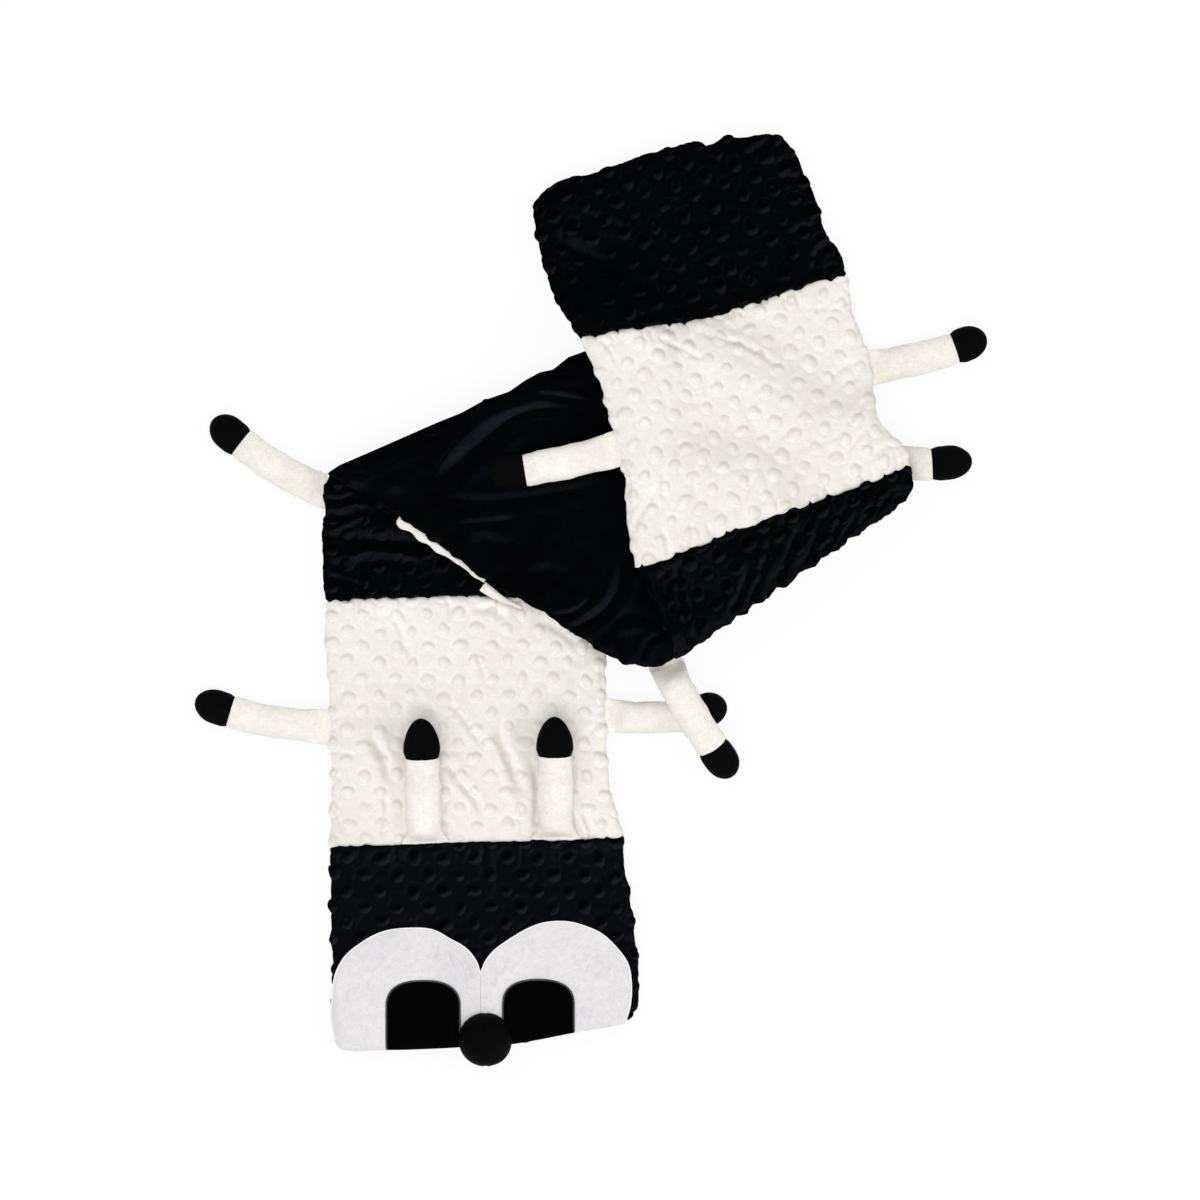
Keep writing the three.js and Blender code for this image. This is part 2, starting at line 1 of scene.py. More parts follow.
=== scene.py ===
"""Weighted plush inchworm: a long pellet pad of black and white bands, lying folded in a Z.

Plan points are in millimetres on the floor, as in the part's own source, and are moved by
PLAN_SHIFT into the shared frame when a piece is made."""

import json
import math

import bpy
import numpy as np
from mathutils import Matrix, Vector


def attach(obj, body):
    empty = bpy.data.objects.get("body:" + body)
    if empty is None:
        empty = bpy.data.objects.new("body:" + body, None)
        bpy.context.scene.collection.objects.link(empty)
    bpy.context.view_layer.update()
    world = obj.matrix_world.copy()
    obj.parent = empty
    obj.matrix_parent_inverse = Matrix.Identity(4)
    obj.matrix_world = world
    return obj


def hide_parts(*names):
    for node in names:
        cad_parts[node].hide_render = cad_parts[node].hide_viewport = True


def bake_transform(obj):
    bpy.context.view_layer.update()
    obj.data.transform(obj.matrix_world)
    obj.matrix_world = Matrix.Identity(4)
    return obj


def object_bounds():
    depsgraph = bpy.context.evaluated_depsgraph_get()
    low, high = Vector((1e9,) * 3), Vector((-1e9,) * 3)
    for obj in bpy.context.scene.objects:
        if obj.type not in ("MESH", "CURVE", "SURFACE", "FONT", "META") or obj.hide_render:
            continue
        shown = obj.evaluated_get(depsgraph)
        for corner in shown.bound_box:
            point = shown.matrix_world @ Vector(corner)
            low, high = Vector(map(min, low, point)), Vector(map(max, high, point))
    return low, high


bl_info = {
    "name": "Weighted Plush Inchworm",
    "version": (1, 0, 0),
    "blender": (4, 2, 0),
    "location": "View3D > Sidebar > Inchworm",
    "description": "Sews a folded, pellet filled plush inchworm band by band",
    "category": "Add Mesh",
}

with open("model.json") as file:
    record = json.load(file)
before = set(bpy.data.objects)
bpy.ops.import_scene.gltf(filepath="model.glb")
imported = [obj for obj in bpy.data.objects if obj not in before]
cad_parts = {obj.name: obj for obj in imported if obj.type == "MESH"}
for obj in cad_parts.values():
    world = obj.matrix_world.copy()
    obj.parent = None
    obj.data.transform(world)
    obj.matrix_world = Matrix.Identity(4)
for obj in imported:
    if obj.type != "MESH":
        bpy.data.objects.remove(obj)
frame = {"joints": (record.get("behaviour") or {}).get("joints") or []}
CAD_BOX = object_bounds()
JOINTS = {joint["name"]: joint for joint in frame["joints"]}
PLAN_SHIFT = np.array((-3.68, 2.18))
# The cloth stays this far above the floor, in millimetres
FLOOR_GAP = 0.3
# Farther than anything on the plan
FAR = 1e9

# Seam and side lines of the pad on the floor plan, in millimetres
NOSE = [(-247, -430), (-241, -437), (-193, -438), (-145, -436.5), (-105, -434), (-73, -432),
        (-16, -421.5), (35, -413)]
HEAD_LEFT = [(-247, -430), (-250.7, -407), (-251.7, -376), (-252.2, -342), (-253, -293), (-254, -241)]
HEAD_RIGHT = [(35, -413), (45.6, -402), (49.5, -378), (48, -347), (44.6, -315), (40.7, -286),
              (35.4, -257), (34, -231)]
NECK = [(-254, -241), (-184, -238), (-107, -236), (-29, -234), (34, -231)]
WHITE_1_LEFT = [(-254, -241), (-252, -177), (-254, -107), (-255, -76), (-258, -41), (-258, -4)]
WHITE_1_RIGHT = [(34, -231), (26, -204), (20.4, -181), (18.4, -138), (16.5, -99), (17.5, -65),
                 (17.5, -31), (18.6, 0)]
WAIST = [(-258, -4), (-184, -0.5), (-107, 0.5), (-44, 0.5), (18.6, 0)]
FOLD_1 = [(-256, 119.5), (29, 252)]
FOLD_1_SPLIT = 0.544
BLACK_2_LEFT = [(-258, -4), (-260.9, 31.5), (-261.4, 63.5), (-259, 83), (-261, 100), (-256, 119.5)]
MIDDLE_EDGE_1 = [(-256, 119.5), (-221, 98.5), (-182, 74)]
MIDDLE_EDGE_2 = [(-182, 74), (-145.5, 48), (-105, 17), (-73, -2.4), (-43, -18), (-27, -29.6)]
MIDDLE_EDGE_3 = [(-27, -29.6), (-1, -47), (15.5, -57.2), (48.5, -68.4), (68, -68.4), (81, -61)]
BELLY = [(-27, -29.6), (131, 202)]
FOLD_2 = [(81, -61), (307, 94)]
BLACK_3_LEFT = [(81, -61), (71.8, -34.4), (62, -14), (51.4, 7.3), (41.7, 28.6)]
BLACK_3_RIGHT = [(307, 94), (312.3, 106), (311.4, 119), (309.9, 128)]
HIP = [(41.7, 28.6), (85.4, 42.4), (136, 64.5), (181.4, 79), (213.4, 92.6), (257, 107.7),
       (309.9, 128)]
WHITE_3_LEFT = [(41.7, 28.6), (34.9, 64.5), (32.5, 94.6), (30, 121.7), (18.9, 162.5), (12, 190),
                (1, 222.6), (-10.9, 247.2)]
WHITE_3_RIGHT = [(309.9, 128), (308.5, 139.7), (291, 158), (279.8, 172), (275.5, 199.3),
                 (275.3, 224.6), (268.4, 244), (258, 270), (251.2, 311)]
RUMP = [(-10.9, 247.2), (18.4, 253), (77.3, 261.4), (124.2, 273), (171.3, 287), (206.6, 300.2),
        (251.2, 311)]
TAIL_LEFT = [(-10.9, 247.2), (-31, 278), (-42.7, 308), (-52.4, 341), (-56.7, 369.5),
             (-55.3, 382.7), (-45, 396.2)]
TAIL_RIGHT = [(251.2, 311), (241.5, 339), (232.4, 348.2), (225, 374), (213.4, 402), (201.8, 430.2),
              (195, 438.9)]
TAIL_END = [(-45, 396.2), (-26.2, 406), (-2.9, 410.8), (20.9, 418.6), (44.3, 428.3),
            (77.2, 437.6), (102.8, 442.3), (117.4, 441), (131, 447.7), (152.3, 447.7),
            (174.6, 450.6), (186.2, 447.7), (195, 438.9)]

EYE_LEFT = [(-105.7, -363), (-109.6, -351.6), (-116.4, -342), (-124.2, -335.6), (-135.8, -329.3),
            (-145.5, -323.5), (-157, -319.8), (-190, -320.6), (-205.6, -325), (-220.2, -333.2),
            (-235.7, -345.8), (-245.5, -363), (-249, -385.6), (-249.5, -407), (-246.5, -428)]
EYE_RIGHT = [(-105.5, -363), (-101, -351.6), (-93.6, -342), (-81, -332.2), (-60, -319.8),
             (-47.5, -315), (-35, -313), (-21.3, -313.3), (-9.7, -315.8), (11.6, -325), (28, -340.8),
             (35.5, -351.6), (38.6, -361), (40, -380), (38.4, -396), (34.4, -410)]

# How each run of the strip lies: the way its length points, in degrees on the plan
RUN_TURN = {"front": 90.0, "middle": -33.6, "rear": 105.5}


# ---- Sizes and colours that a user would change


def size_property(label, text, value, low, high):
    return bpy.props.FloatProperty(name=label, description=text, default=value, min=low, max=high,
                                   unit="LENGTH")


def colour_property(label, text, value):
    return bpy.props.StringProperty(name=label, description=text + ", as sRGB hex", default=value)


class PadSizes(bpy.types.PropertyGroup):
    thick: size_property("Thickness", "Full height of the filled pad", 0.024, 0.012, 0.05)
    cloth: size_property("Cloth", "Plush with its backing", 0.0022, 0.0012, 0.003)
    edge_run: size_property("Edge run", "The pad is full height this far from a side seam",
                            0.026, 0.012, 0.04)
    seam_dip: size_property("Seam dip", "How far a cross seam pulls the front down",
                            0.0052, 0.001, 0.009)
    dot_across: size_property("Dot spacing", "Between raised dots in a row", 0.0304, 0.015, 0.05)
    dot_along: size_property("Row spacing", "Between rows of raised dots", 0.0156, 0.008, 0.03)
    dot_width: size_property("Dot width", "Across one raised dot", 0.0126, 0.006, 0.02)
    dot_height: size_property("Dot height", "Of one raised dot", 0.0022, 0.0005, 0.005)
    weave_step: size_property("Mesh step", "Between the points of a dotted panel",
                              0.0015, 0.0012, 0.006)


class LimbSizes(bpy.types.PropertyGroup):
    leg_width: size_property("Leg width", "Across a stuffed leg", 0.033, 0.02, 0.045)
    leg_height: size_property("Leg height", "Top to floor of a stuffed leg", 0.0236, 0.015, 0.035)
    feeler_width: size_property("Feeler width", "Across a feeler", 0.0358, 0.02, 0.045)
    feeler_height: size_property("Feeler height", "Through a feeler", 0.026, 0.015, 0.035)
    sleeve_part: bpy.props.FloatProperty(name="Sleeve share", default=0.72, min=0.5, max=0.9,
                                         description="Share of a limb that is pale sleeve")
    nose_width: size_property("Nose", "Across the nose ball", 0.0525, 0.03, 0.07)


class PlushColours(bpy.types.PropertyGroup):
    white: colour_property("White", "Dotted white plush", "#f4f1ea")
    black: colour_property("Black", "Dotted black plush", "#060709")
    head: colour_property("Head", "Dotted black plush of the head", "#0a0b0d")
    back: colour_property("Back", "Smooth black plush of the back", "#060708")
    cream: colour_property("Cream", "Legs and feelers", "#f9f6ee")
    matt: colour_property("Matt black", "Feet, tips, pupils and nose", "#060607")
    eye: colour_property("Eye", "Velvet of the eyes", "#e9e7e8")
    thread: colour_property("Thread", "Stitching round the eyes", "#f4f3f1")
    pouch: colour_property("Pouch", "Cloth of the pellet pouches", "#d9d6cf")


def pad():
    return bpy.context.scene.inchworm_pad


def limb_sizes():
    return bpy.context.scene.inchworm_limbs


def colours():
    return bpy.context.scene.inchworm_colours


# ---- Lines, patches and soft noise


# Cells in a row of the table that soft noise is drawn from, before it repeats
NOISE_CELLS = 97


def smooth(value):
    """Eases from 0 to 1."""
    value = np.clip(value, 0, 1)
    return value * value * (3 - 2 * value)


def rounded(distance, run):
    """0 at a seam, 1 from run onwards, steep at the seam as a filled edge is."""
    k = 1 - np.clip(distance / run, 0, 1)
    return np.sqrt(np.clip(1 - k * k, 0, 1))


def smooth_line(points, count=96):
    """A smooth line through the points, as count points evenly spread along it."""
    points = np.array(points, float)
    if len(points) == 2:
        return points[0] + (points[1] - points[0]) * np.linspace(0, 1, count)[:, None]
    padded = np.vstack((2 * points[0] - points[1], points, 2 * points[-1] - points[-2]))
    out = []
    for p0, p1, p2, p3 in zip(padded, padded[1:], padded[2:], padded[3:]):
        t0 = 0.0
        t1 = t0 + np.sqrt(np.linalg.norm(p1 - p0))
        t2 = t1 + np.sqrt(np.linalg.norm(p2 - p1))
        t3 = t2 + np.sqrt(np.linalg.norm(p3 - p2))
        t = np.linspace(t1, t2, 16, endpoint=False)[:, None]
        a1 = (t1 - t) / (t1 - t0) * p0 + (t - t0) / (t1 - t0) * p1
        a2 = (t2 - t) / (t2 - t1) * p1 + (t - t1) / (t2 - t1) * p2
        a3 = (t3 - t) / (t3 - t2) * p2 + (t - t2) / (t3 - t2) * p3
        b1 = (t2 - t) / (t2 - t0) * a1 + (t - t0) / (t2 - t0) * a2
        b2 = (t3 - t) / (t3 - t1) * a2 + (t - t1) / (t3 - t1) * a3
        out.append((t2 - t) / (t2 - t1) * b1 + (t - t1) / (t2 - t1) * b2)
    return even(np.vstack(out + [points[-1:]]), count)


def unit(vectors):
    """The same directions with length 1."""
    return vectors / np.maximum(1e-9, np.linalg.norm(vectors, axis=-1, keepdims=True))


def sideways(line):
    """The way across a plan line at each of its points."""
    way = unit(np.gradient(line, axis=0))
    return np.stack((-way[:, 1], way[:, 0]), 1)


def even(line, count):
    """The same line as count points evenly spread along it."""
    gone = np.concatenate(((0,), np.cumsum(np.linalg.norm(np.diff(line, axis=0), axis=1))))
    at = np.linspace(0, gone[-1], count)
    return np.stack([np.interp(at, gone, line[:, i]) for i in (0, 1)], 1)


def kinked(points, kink, count=96):
    """Two straight stretches that meet at share kink of the line."""
    points = np.array(points, float)
    first = int(round(kink * (count - 1)))
    one = points[0] + (points[1] - points[0]) * np.linspace(0, 1, first + 1)[:, None]
    two = points[1] + (points[2] - points[1]) * np.linspace(0, 1, count - first)[:, None]
    return np.vstack((one, two[1:]))


def along(line, share):
    """Points at shares of a line's length."""
    line = np.asarray(line, float)
    at = np.asarray(share) * (len(line) - 1)
    steps = np.arange(len(line))
    return np.stack([np.interp(at, steps, line[:, i]) for i in (0, 1)], -1)


def patch(low, high, left, right, across, down):
    """Plan points of a four sided patch, at shares across and down of its border lines."""
    low, high = along(low, across)[None], along(high, across)[None]
    left, right = along(left, down)[:, None], along(right, down)[:, None]
    a, b = across[None, :, None], down[:, None, None]
    corners = ((1 - b) * ((1 - a) * low[:, :1] + a * low[:, -1:])
               + b * ((1 - a) * high[:, :1] + a * high[:, -1:]))
    return low * (1 - b) + high * b + left * (1 - a) + right * a - corners


def nearest(points, line):
    """Distance of each plan point to a line."""
    best = np.full(points.shape[:-1], FAR)
    for p, q in zip(line[:-1], line[1:]):
        run = q - p
        k = np.clip(((points - p) @ run) / max(1e-9, run @ run), 0, 1)
        foot = p + k[..., None] * run
        best = np.minimum(best, np.linalg.norm(points - foot, axis=-1))
    return best


def inside(points, outline):
    """True where a plan point lies in a closed outline."""
    x, y = points[..., 0], points[..., 1]
    within = np.zeros(x.shape, bool)
    for (x1, y1), (x2, y2) in zip(outline, np.roll(outline, -1, axis=0)):
        if y1 == y2:
            continue
        crosses = (y1 > y) != (y2 > y)
        within ^= crosses & (x < (x2 - x1) * (y - y1) / (y2 - y1) + x1)
    return within


def soft_noise(u, v, seed):
    """Smooth noise from -1 to 1 with one lump for each unit of u and v."""
    table = np.random.default_rng(seed).uniform(-1, 1, (NOISE_CELLS, NOISE_CELLS))
    iu, iv = np.floor(u).astype(int), np.floor(v).astype(int)
    fu, fv = u - iu, v - iv
    fu, fv = fu ** 3 * (fu * (fu * 6 - 15) + 10), fv ** 3 * (fv * (fv * 6 - 15) + 10)
    pick = lambda i, j: table[(iu + i) % NOISE_CELLS, (iv + j) % NOISE_CELLS]
    low = pick(0, 0) * (1 - fu) + pick(1, 0) * fu
    high = pick(0, 1) * (1 - fu) + pick(1, 1) * fu
    return low * (1 - fv) + high * fv


def on_strip(points, run):
    """Plan points in the strip's own directions: across it and along it, in millimetres."""
    turn = math.radians(RUN_TURN[run])
    ahead = np.array((math.cos(turn), math.sin(turn)))
    aside = np.array((ahead[1], -ahead[0]))
    return points @ aside, points @ ahead


# The way on the plan towards the painted light: cloth that slopes this way is painted lighter, and cloth
# that slopes away is painted darker
PAINTED_LIGHT_WAY = {"white": (-0.5, -0.87), "black": (0.5, -0.87)}

# Where one dot of each run sits, in strip coordinates
DOT_START = {"front": (-248, -17), "middle": (0, 0), "rear": (95, 145)}


# How the rows of dots wander and how each dot differs, in millimetres and as shares of its size
ROWS_WANDER = 2.6
DOT_OUTLINE_WANDER = 1.0
DOT_OFF_PLACE = 1.3
DOT_OVAL = 0.14
DOT_SIZE_SPREAD = 0.12
DOT_HEIGHT_SPREAD = 0.15
# Dots whose number is above this one were pressed in at the top
PRESSED_IN_ABOVE = 0.86


def dots(u, v, run):
    """Height of the raised dots over strip coordinates in millimetres: 0 to 1, with a groove round
    each."""
    across, down = pad().dot_across * 1000, pad().dot_along * 1000
    reach = pad().dot_width * 500
    table = np.random.default_rng(11).uniform(-1, 1, (61, 61, 4))
    u, v = (u - DOT_START[run][0] + ROWS_WANDER * soft_noise(u / 47, v / 47, 61)
            + DOT_OUTLINE_WANDER * soft_noise(u / 6, v / 6, 63),
            v - DOT_START[run][1] + ROWS_WANDER * soft_noise(u / 47, v / 47, 62)
            + DOT_OUTLINE_WANDER * soft_noise(u / 6, v / 6, 64))
    best = np.zeros(u.shape)
    groove = np.zeros(u.shape)
    row0 = np.round(v / down).astype(int)
    for step in (-1, 0, 1):
        row = row0 + step
        shift = (row % 2) * 0.5 * across
        column = np.round((u - shift) / across).astype(int)
        wobble = table[row % 61, column % 61]
        du = u - (column * across + shift) - wobble[..., 0] * DOT_OFF_PLACE
        dv = v - row * down - wobble[..., 1] * DOT_OFF_PLACE
        lean = 1 + DOT_OVAL * wobble[..., 3]
        size = reach * (1 + DOT_SIZE_SPREAD * wobble[..., 2])
        r = np.sqrt((du * lean) ** 2 + (dv / lean) ** 2) / size
        dome = np.clip(1 - r ** 2.6, 0, 1) ** 0.95
        pressed_in = wobble[..., 3] > PRESSED_IN_ABOVE
        dome = np.where(pressed_in, dome * 0.8 - 0.7 * np.clip(1 - (r / 0.55) ** 2, 0, 1), dome)
        best = np.maximum(best, dome * (1 - DOT_HEIGHT_SPREAD + DOT_HEIGHT_SPREAD * wobble[..., 2]))
        groove = np.minimum(groove, -0.2 * np.exp(-((r - 1.14) / 0.16) ** 2))
    return best + groove + 0.07 * soft_noise(u / 4.3, v / 4.3, 65)


# ---- Legs and what each run lies on


# Each leg as it lies: the way it points in degrees on the plan, the height of its centre line, its
# length and how far its root is off the joint, in millimetres
LEGS = {
    "white_1_left": dict(run="front", turn=(179, 157), rise=(12, 12), length=130),
    "white_1_right": dict(run="front", turn=(-7, 3, 28), rise=(12, 12), length=117),
    "black_2_left": dict(run="front", turn=(157, 136), rise=(12, 12), length=128, nudge=(-1, 3)),
    "black_2_right": dict(run="front", turn=(-6, -18), rise=(12, 12), length=124),
    "white_3_left": dict(run="rear", turn=(197, 186), rise=(60.5, 61.2), length=124),
    "white_3_right": dict(run="rear", turn=(10, 14, 26), rise=(12, 12), length=117),
    "black_3_left": dict(run="middle", turn=(-67, -60, -57, -52), rise=(14, 33, 37.8, 36.5, 27, 17),
                         length=126, nudge=(2, 0)),
    "black_3_right": dict(run="middle", turn=(50, -28, -14, 5, 5), rise=(12, 12), length=141),
}


def between(values, k):
    """Values evenly spread over 0 to 1, read at k."""
    return np.interp(np.clip(k, 0, 1) * (len(values) - 1), np.arange(len(values)), values)


def leg_root(name):
    """Where a leg is sewn in, on the plan, its height, and the way it leaves the seam."""
    joint = JOINTS[f"leg_{name}_swing"]
    place = np.array(joint["pos_m"]) * 1000
    axis = np.array(joint["axis"])
    out = np.array((axis[1], -axis[0]))
    first = math.radians(LEGS[name]["turn"][0])
    if out @ np.array((math.cos(first), math.sin(first))) < 0:
        out = -out
    return place[:2] - PLAN_SHIFT, place[2], out


def leg_line(name, shares):
    """Centre line of a leg as plan points and heights, at shares of its length."""
    leg = LEGS[name]
    root, height, _ = leg_root(name)
    root = root + np.array(leg.get("nudge", (0, 0)))
    rise = (height,) + tuple(leg["rise"][1:])
    out = []
    for k in shares:
        steps = (np.arange(24) + 0.5) / 24 * k
        turn = np.radians(between(leg["turn"], steps))
        step = leg["length"] * k / 24
        out.append((root[0] + np.cos(turn).sum() * step, root[1] + np.sin(turn).sum() * step,
                    between(rise, k)))
    return np.array(out)


def over_leg(name, points, reach):
    """A layer is lifted where it lies over a hidden leg."""
    line = leg_line(name, np.linspace(0, 1, 13))[:, :2]
    gap = nearest(points, line) - 17 - reach
    return (limb_sizes().leg_height * 1000 + 1.4) * (1 - smooth(gap / 42))


def over_front(points, reach):
    """A layer is lifted where it lies over the front run."""
    return (pad().thick * 1000 + 0.5) * (1 - smooth((points[..., 0] - 38 - reach) / 40))


def beyond_middle(points):
    """How far plan points lie outside the middle run, past its far side or past the first fold."""
    corner = np.array(FOLD_1[1])
    side = unit(np.array(FOLD_2[1]) - corner)
    rim = unit(corner - np.array(FOLD_1[0]))
    d = points - corner
    return np.maximum(-side[1] * d[..., 0] + side[0] * d[..., 1],
                      -rim[1] * d[..., 0] + rim[0] * d[..., 1])


# Heights are kept in square cells of the plan, in millimetres
RASTER_STEP = 5.0
RASTER_X = np.arange(-340, 400, RASTER_STEP)
RASTER_Y = np.arange(-480, 500, RASTER_STEP)
RASTER = np.stack(np.meshgrid(RASTER_X, RASTER_Y), -1)
tops = {"front": np.zeros(RASTER.shape[:2]), "middle": np.zeros(RASTER.shape[:2])}
support_maps = {}


def spread_highest(raster, reach):
    """Each cell takes the highest cell within reach."""
    out = raster.copy()
    cells = int(reach / RASTER_STEP)
    for i in range(-cells, cells + 1):
        for j in range(-cells, cells + 1):
            if i * i + j * j <= cells * cells:
                out = np.maximum(out, np.roll(raster, (i, j), (0, 1)))
    return out


def blurred(raster, passes):
    """The same heights, softened once for each pass."""
    for _ in range(passes):
        for axis in (0, 1):
            raster = (np.roll(raster, 1, axis) + 2 * raster + np.roll(raster, -1, axis)) / 4
    return raster


def look_up(raster, points):
    """Height at plan points, blended between the cells round each."""
    x = np.clip((points[..., 0] - RASTER_X[0]) / RASTER_STEP, 0, len(RASTER_X) - 2)
    y = np.clip((points[..., 1] - RASTER_Y[0]) / RASTER_STEP, 0, len(RASTER_Y) - 2)
    i, j = x.astype(int), y.astype(int)
    fx, fy = x - i, y - j
    return ((raster[j, i] * (1 - fx) + raster[j, i + 1] * fx) * (1 - fy)
            + (raster[j + 1, i] * (1 - fx) + raster[j + 1, i + 1] * fx) * fy)


def remember_top(run, points, height):
    """Keeps the highest point of a run in each cell, for the run that lies on it."""
    i, j = (np.clip(np.round((points[..., axis] - line[0]) / RASTER_STEP).astype(int), 0, len(line) - 1)
            for axis, line in enumerate((RASTER_X, RASTER_Y)))
    np.maximum.at(tops[run], (j.ravel(), i.ravel()), height.ravel())


def settle(run):
    """Works out the surface that a run lies on."""
    if run == "middle":
        base = np.maximum(over_front(RASTER, 0), over_leg("black_2_right", RASTER, 0))
        below = tops["front"]
    else:
        under = np.maximum(over_front(RASTER, 6), over_leg("black_2_right", RASTER, 12))
        stack = (under + pad().thick * 1000 + 0.5) * (1 - smooth((beyond_middle(RASTER) - 16) / 66))
        base = np.maximum(stack, over_leg("black_3_right", RASTER, 4))
        below = tops["middle"]
    if not below.any():
        raise RuntimeError(f"The run under the {run} run isn't laid yet")
    near = spread_highest(below, 25)
    lifted = np.where(near > 0, near + 0.5, 0)
    support_maps[run] = blurred(np.maximum(base, lifted), 6)


def support(run, points):
    """Height of what a run lies on, at plan points."""
    return np.zeros(points.shape[:-1]) if run == "front" else look_up(support_maps[run], points)


# ---- Making meshes


def deselect():
    if bpy.context.object and bpy.context.object.mode != "OBJECT":
        bpy.ops.object.mode_set(mode="OBJECT")
    bpy.ops.object.select_all(action="DESELECT")


def make_active(piece):
    deselect()
    piece.select_set(True)
    bpy.context.view_layer.objects.active = piece


def in_edit_mode(piece, *steps):
    """Runs edit mode operators on all of a piece."""
    make_active(piece)
    bpy.ops.object.mode_set(mode="EDIT")
    bpy.ops.mesh.select_mode(type="VERT")
    for step in steps:
        bpy.ops.mesh.select_all(action="SELECT")
        step()
    bpy.ops.object.mode_set(mode="OBJECT")


def local_mean(values, reach):
    """Mean of a grid of values over the square of points within reach of each."""
    for axis in (0, 1):
        border = [(0, 0)] * values.ndim
        border[axis] = (reach + 1, reach)
        total = np.cumsum(np.pad(values, border, mode="edge"), axis=axis)
        places = np.arange(values.shape[axis])
        values = (np.take(total, places + 2 * reach + 1, axis) - np.take(total, places, axis)) \
            / (2 * reach + 1)
    return values


def paint_slope_light(piece, points, mounds, way, reach):
    """Stores two numbers at each point of the cloth. The first is painted light and shade from the slope
    of the cloth: 1 where a fold or dot tips along way, towards the painted light, and -1 where it tips
    back. mound: how far up a dot the point is."""
    normal = surface_normals(points)
    normal = (normal * np.sign(normal[..., 2].mean() or 1))[..., :2]
    painted_light = np.clip(((normal - 0.75 * local_mean(normal, reach)) @ np.array(way)) / 0.55, -1, 1)
    for name, values in (("painted_light", painted_light), ("mound", np.clip(mounds, 0, 1))):
        attribute = piece.data.attributes.new(name, "FLOAT", "POINT")
        attribute.data.foreach_set("value", values.ravel().astype(np.float32))


def add_cloth(name, points, upward=True):
    """A grid primitive shaped to points (rows, columns, xyz in plan millimetres)."""
    rows, columns = points.shape[:2]
    deselect()
    bpy.ops.mesh.primitive_grid_add(x_subdivisions=columns - 1, y_subdivisions=rows - 1, size=1)
    piece = bpy.context.object
    piece.name = piece.data.name = name
    place_points(piece, points)
    if piece_faces_up(piece) != upward:
        in_edit_mode(piece, lambda: bpy.ops.mesh.flip_normals())
    return piece


def add_tube(name, rings, weld=0.00001):
    """A closed tube through rings of points, each end drawn together to a point in its middle."""
    ends = [np.broadcast_to(ring[:-1].mean(0), ring.shape)[None] for ring in (rings[0], rings[-1])]
    piece = add_cloth(name, np.concatenate((ends[0], rings, ends[1])), True)
    in_edit_mode(piece, lambda: bpy.ops.mesh.remove_doubles(threshold=weld),
                 lambda: bpy.ops.mesh.normals_make_consistent(inside=False))
    smooth_shade(piece, 60)
    return piece


def place_points(piece, points):
    """Puts a piece's vertices at points given in plan millimetres."""
    flat = points.reshape(-1, 3).copy()
    if len(flat) != len(piece.data.vertices):
        raise RuntimeError(f"{piece.name}: {len(piece.data.vertices)} vertices for {len(flat)} points")
    if not np.isfinite(flat).all():
        raise RuntimeError(f"{piece.name}: some points have no place")
    flat[:, :2] += PLAN_SHIFT
    piece.data.vertices.foreach_set("co", (flat * 0.001).ravel())
    piece.data.update()


def piece_faces_up(piece):
    normals = np.zeros(len(piece.data.polygons) * 3)
    piece.data.polygons.foreach_get("normal", normals)
    areas = np.zeros(len(piece.data.polygons))
    piece.data.polygons.foreach_get("area", areas)
    return float((normals[2::3] * areas).sum()) > 0


def modify(piece, kind, **settings):
    """Adds a modifier and applies it."""
    make_active(piece)
    modifier = piece.modifiers.new(kind.title(), kind)
    for key, value in settings.items():
        setattr(modifier, key, value)
    bpy.ops.object.modifier_apply(modifier=modifier.name)


def smooth_shade(piece, angle=50):
    make_active(piece)
    bpy.ops.object.shade_smooth_by_angle(angle=math.radians(angle))


def surface_normals(points):
    """Upward unit normals of a grid of points."""
    du = np.gradient(points, axis=1)
    dv = np.gradient(points, axis=0)
    return unit(np.cross(du, dv))


def row_point(plan_point, height=0.0):
    """A plan point as metres in the shared frame."""
    x, y = np.array(plan_point[:2]) + PLAN_SHIFT
    return float(x) * 0.001, float(y) * 0.001, float(height) * 0.001


def finish_piece(piece, finish, body, node=None, bend=None):
    """Finish, material slot and body of a piece. Given a bend = (other body, start, end), its place is
    baked into its points instead and it is not attached to a body; what the bend holds is not used."""
    if finish not in finishes:
        raise RuntimeError(f"{piece.name}: the cloth isn't dyed yet")
    piece.data.materials.clear()
    piece.data.materials.append(finishes[finish])
    if node:
        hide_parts(node)
    if bend:
        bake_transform(piece)
    else:
        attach(piece, body)


# ---- Plush finishes


# How far the tufts stand out, in metres
TUFT_DEPTH = 0.0005
# Width of the patches where cloth was stroked one way, and of a thread's fibres, in millimetres
STROKED = 71.43
FIBRE = 0.6667
# The materials by name, once the cloth is dyed
finishes = {}


def linear(hex_colour):
    """An sRGB hex colour as linear red, green, blue and alpha."""
    parts = [int(hex_colour.lstrip("#")[i:i + 2], 16) / 255 for i in (0, 2, 4)]
    return [c / 12.92 if c <= 0.04045 else ((c + 0.055) / 1.055) ** 2.4 for c in parts] + [1.0]


def add_node(owner, kind, inputs=None, **settings):
    """Adds a node to a material or world: its settings, and its inputs as values or links."""
    node = owner.node_tree.nodes.new(kind)
    for key, value in settings.items():
        setattr(node, key, value)
    for key, value in (inputs or {}).items():
        if isinstance(value, bpy.types.NodeSocket):
            owner.node_tree.links.new(value, node.inputs[key])
        else:
            node.inputs[key].default_value = value
    return node


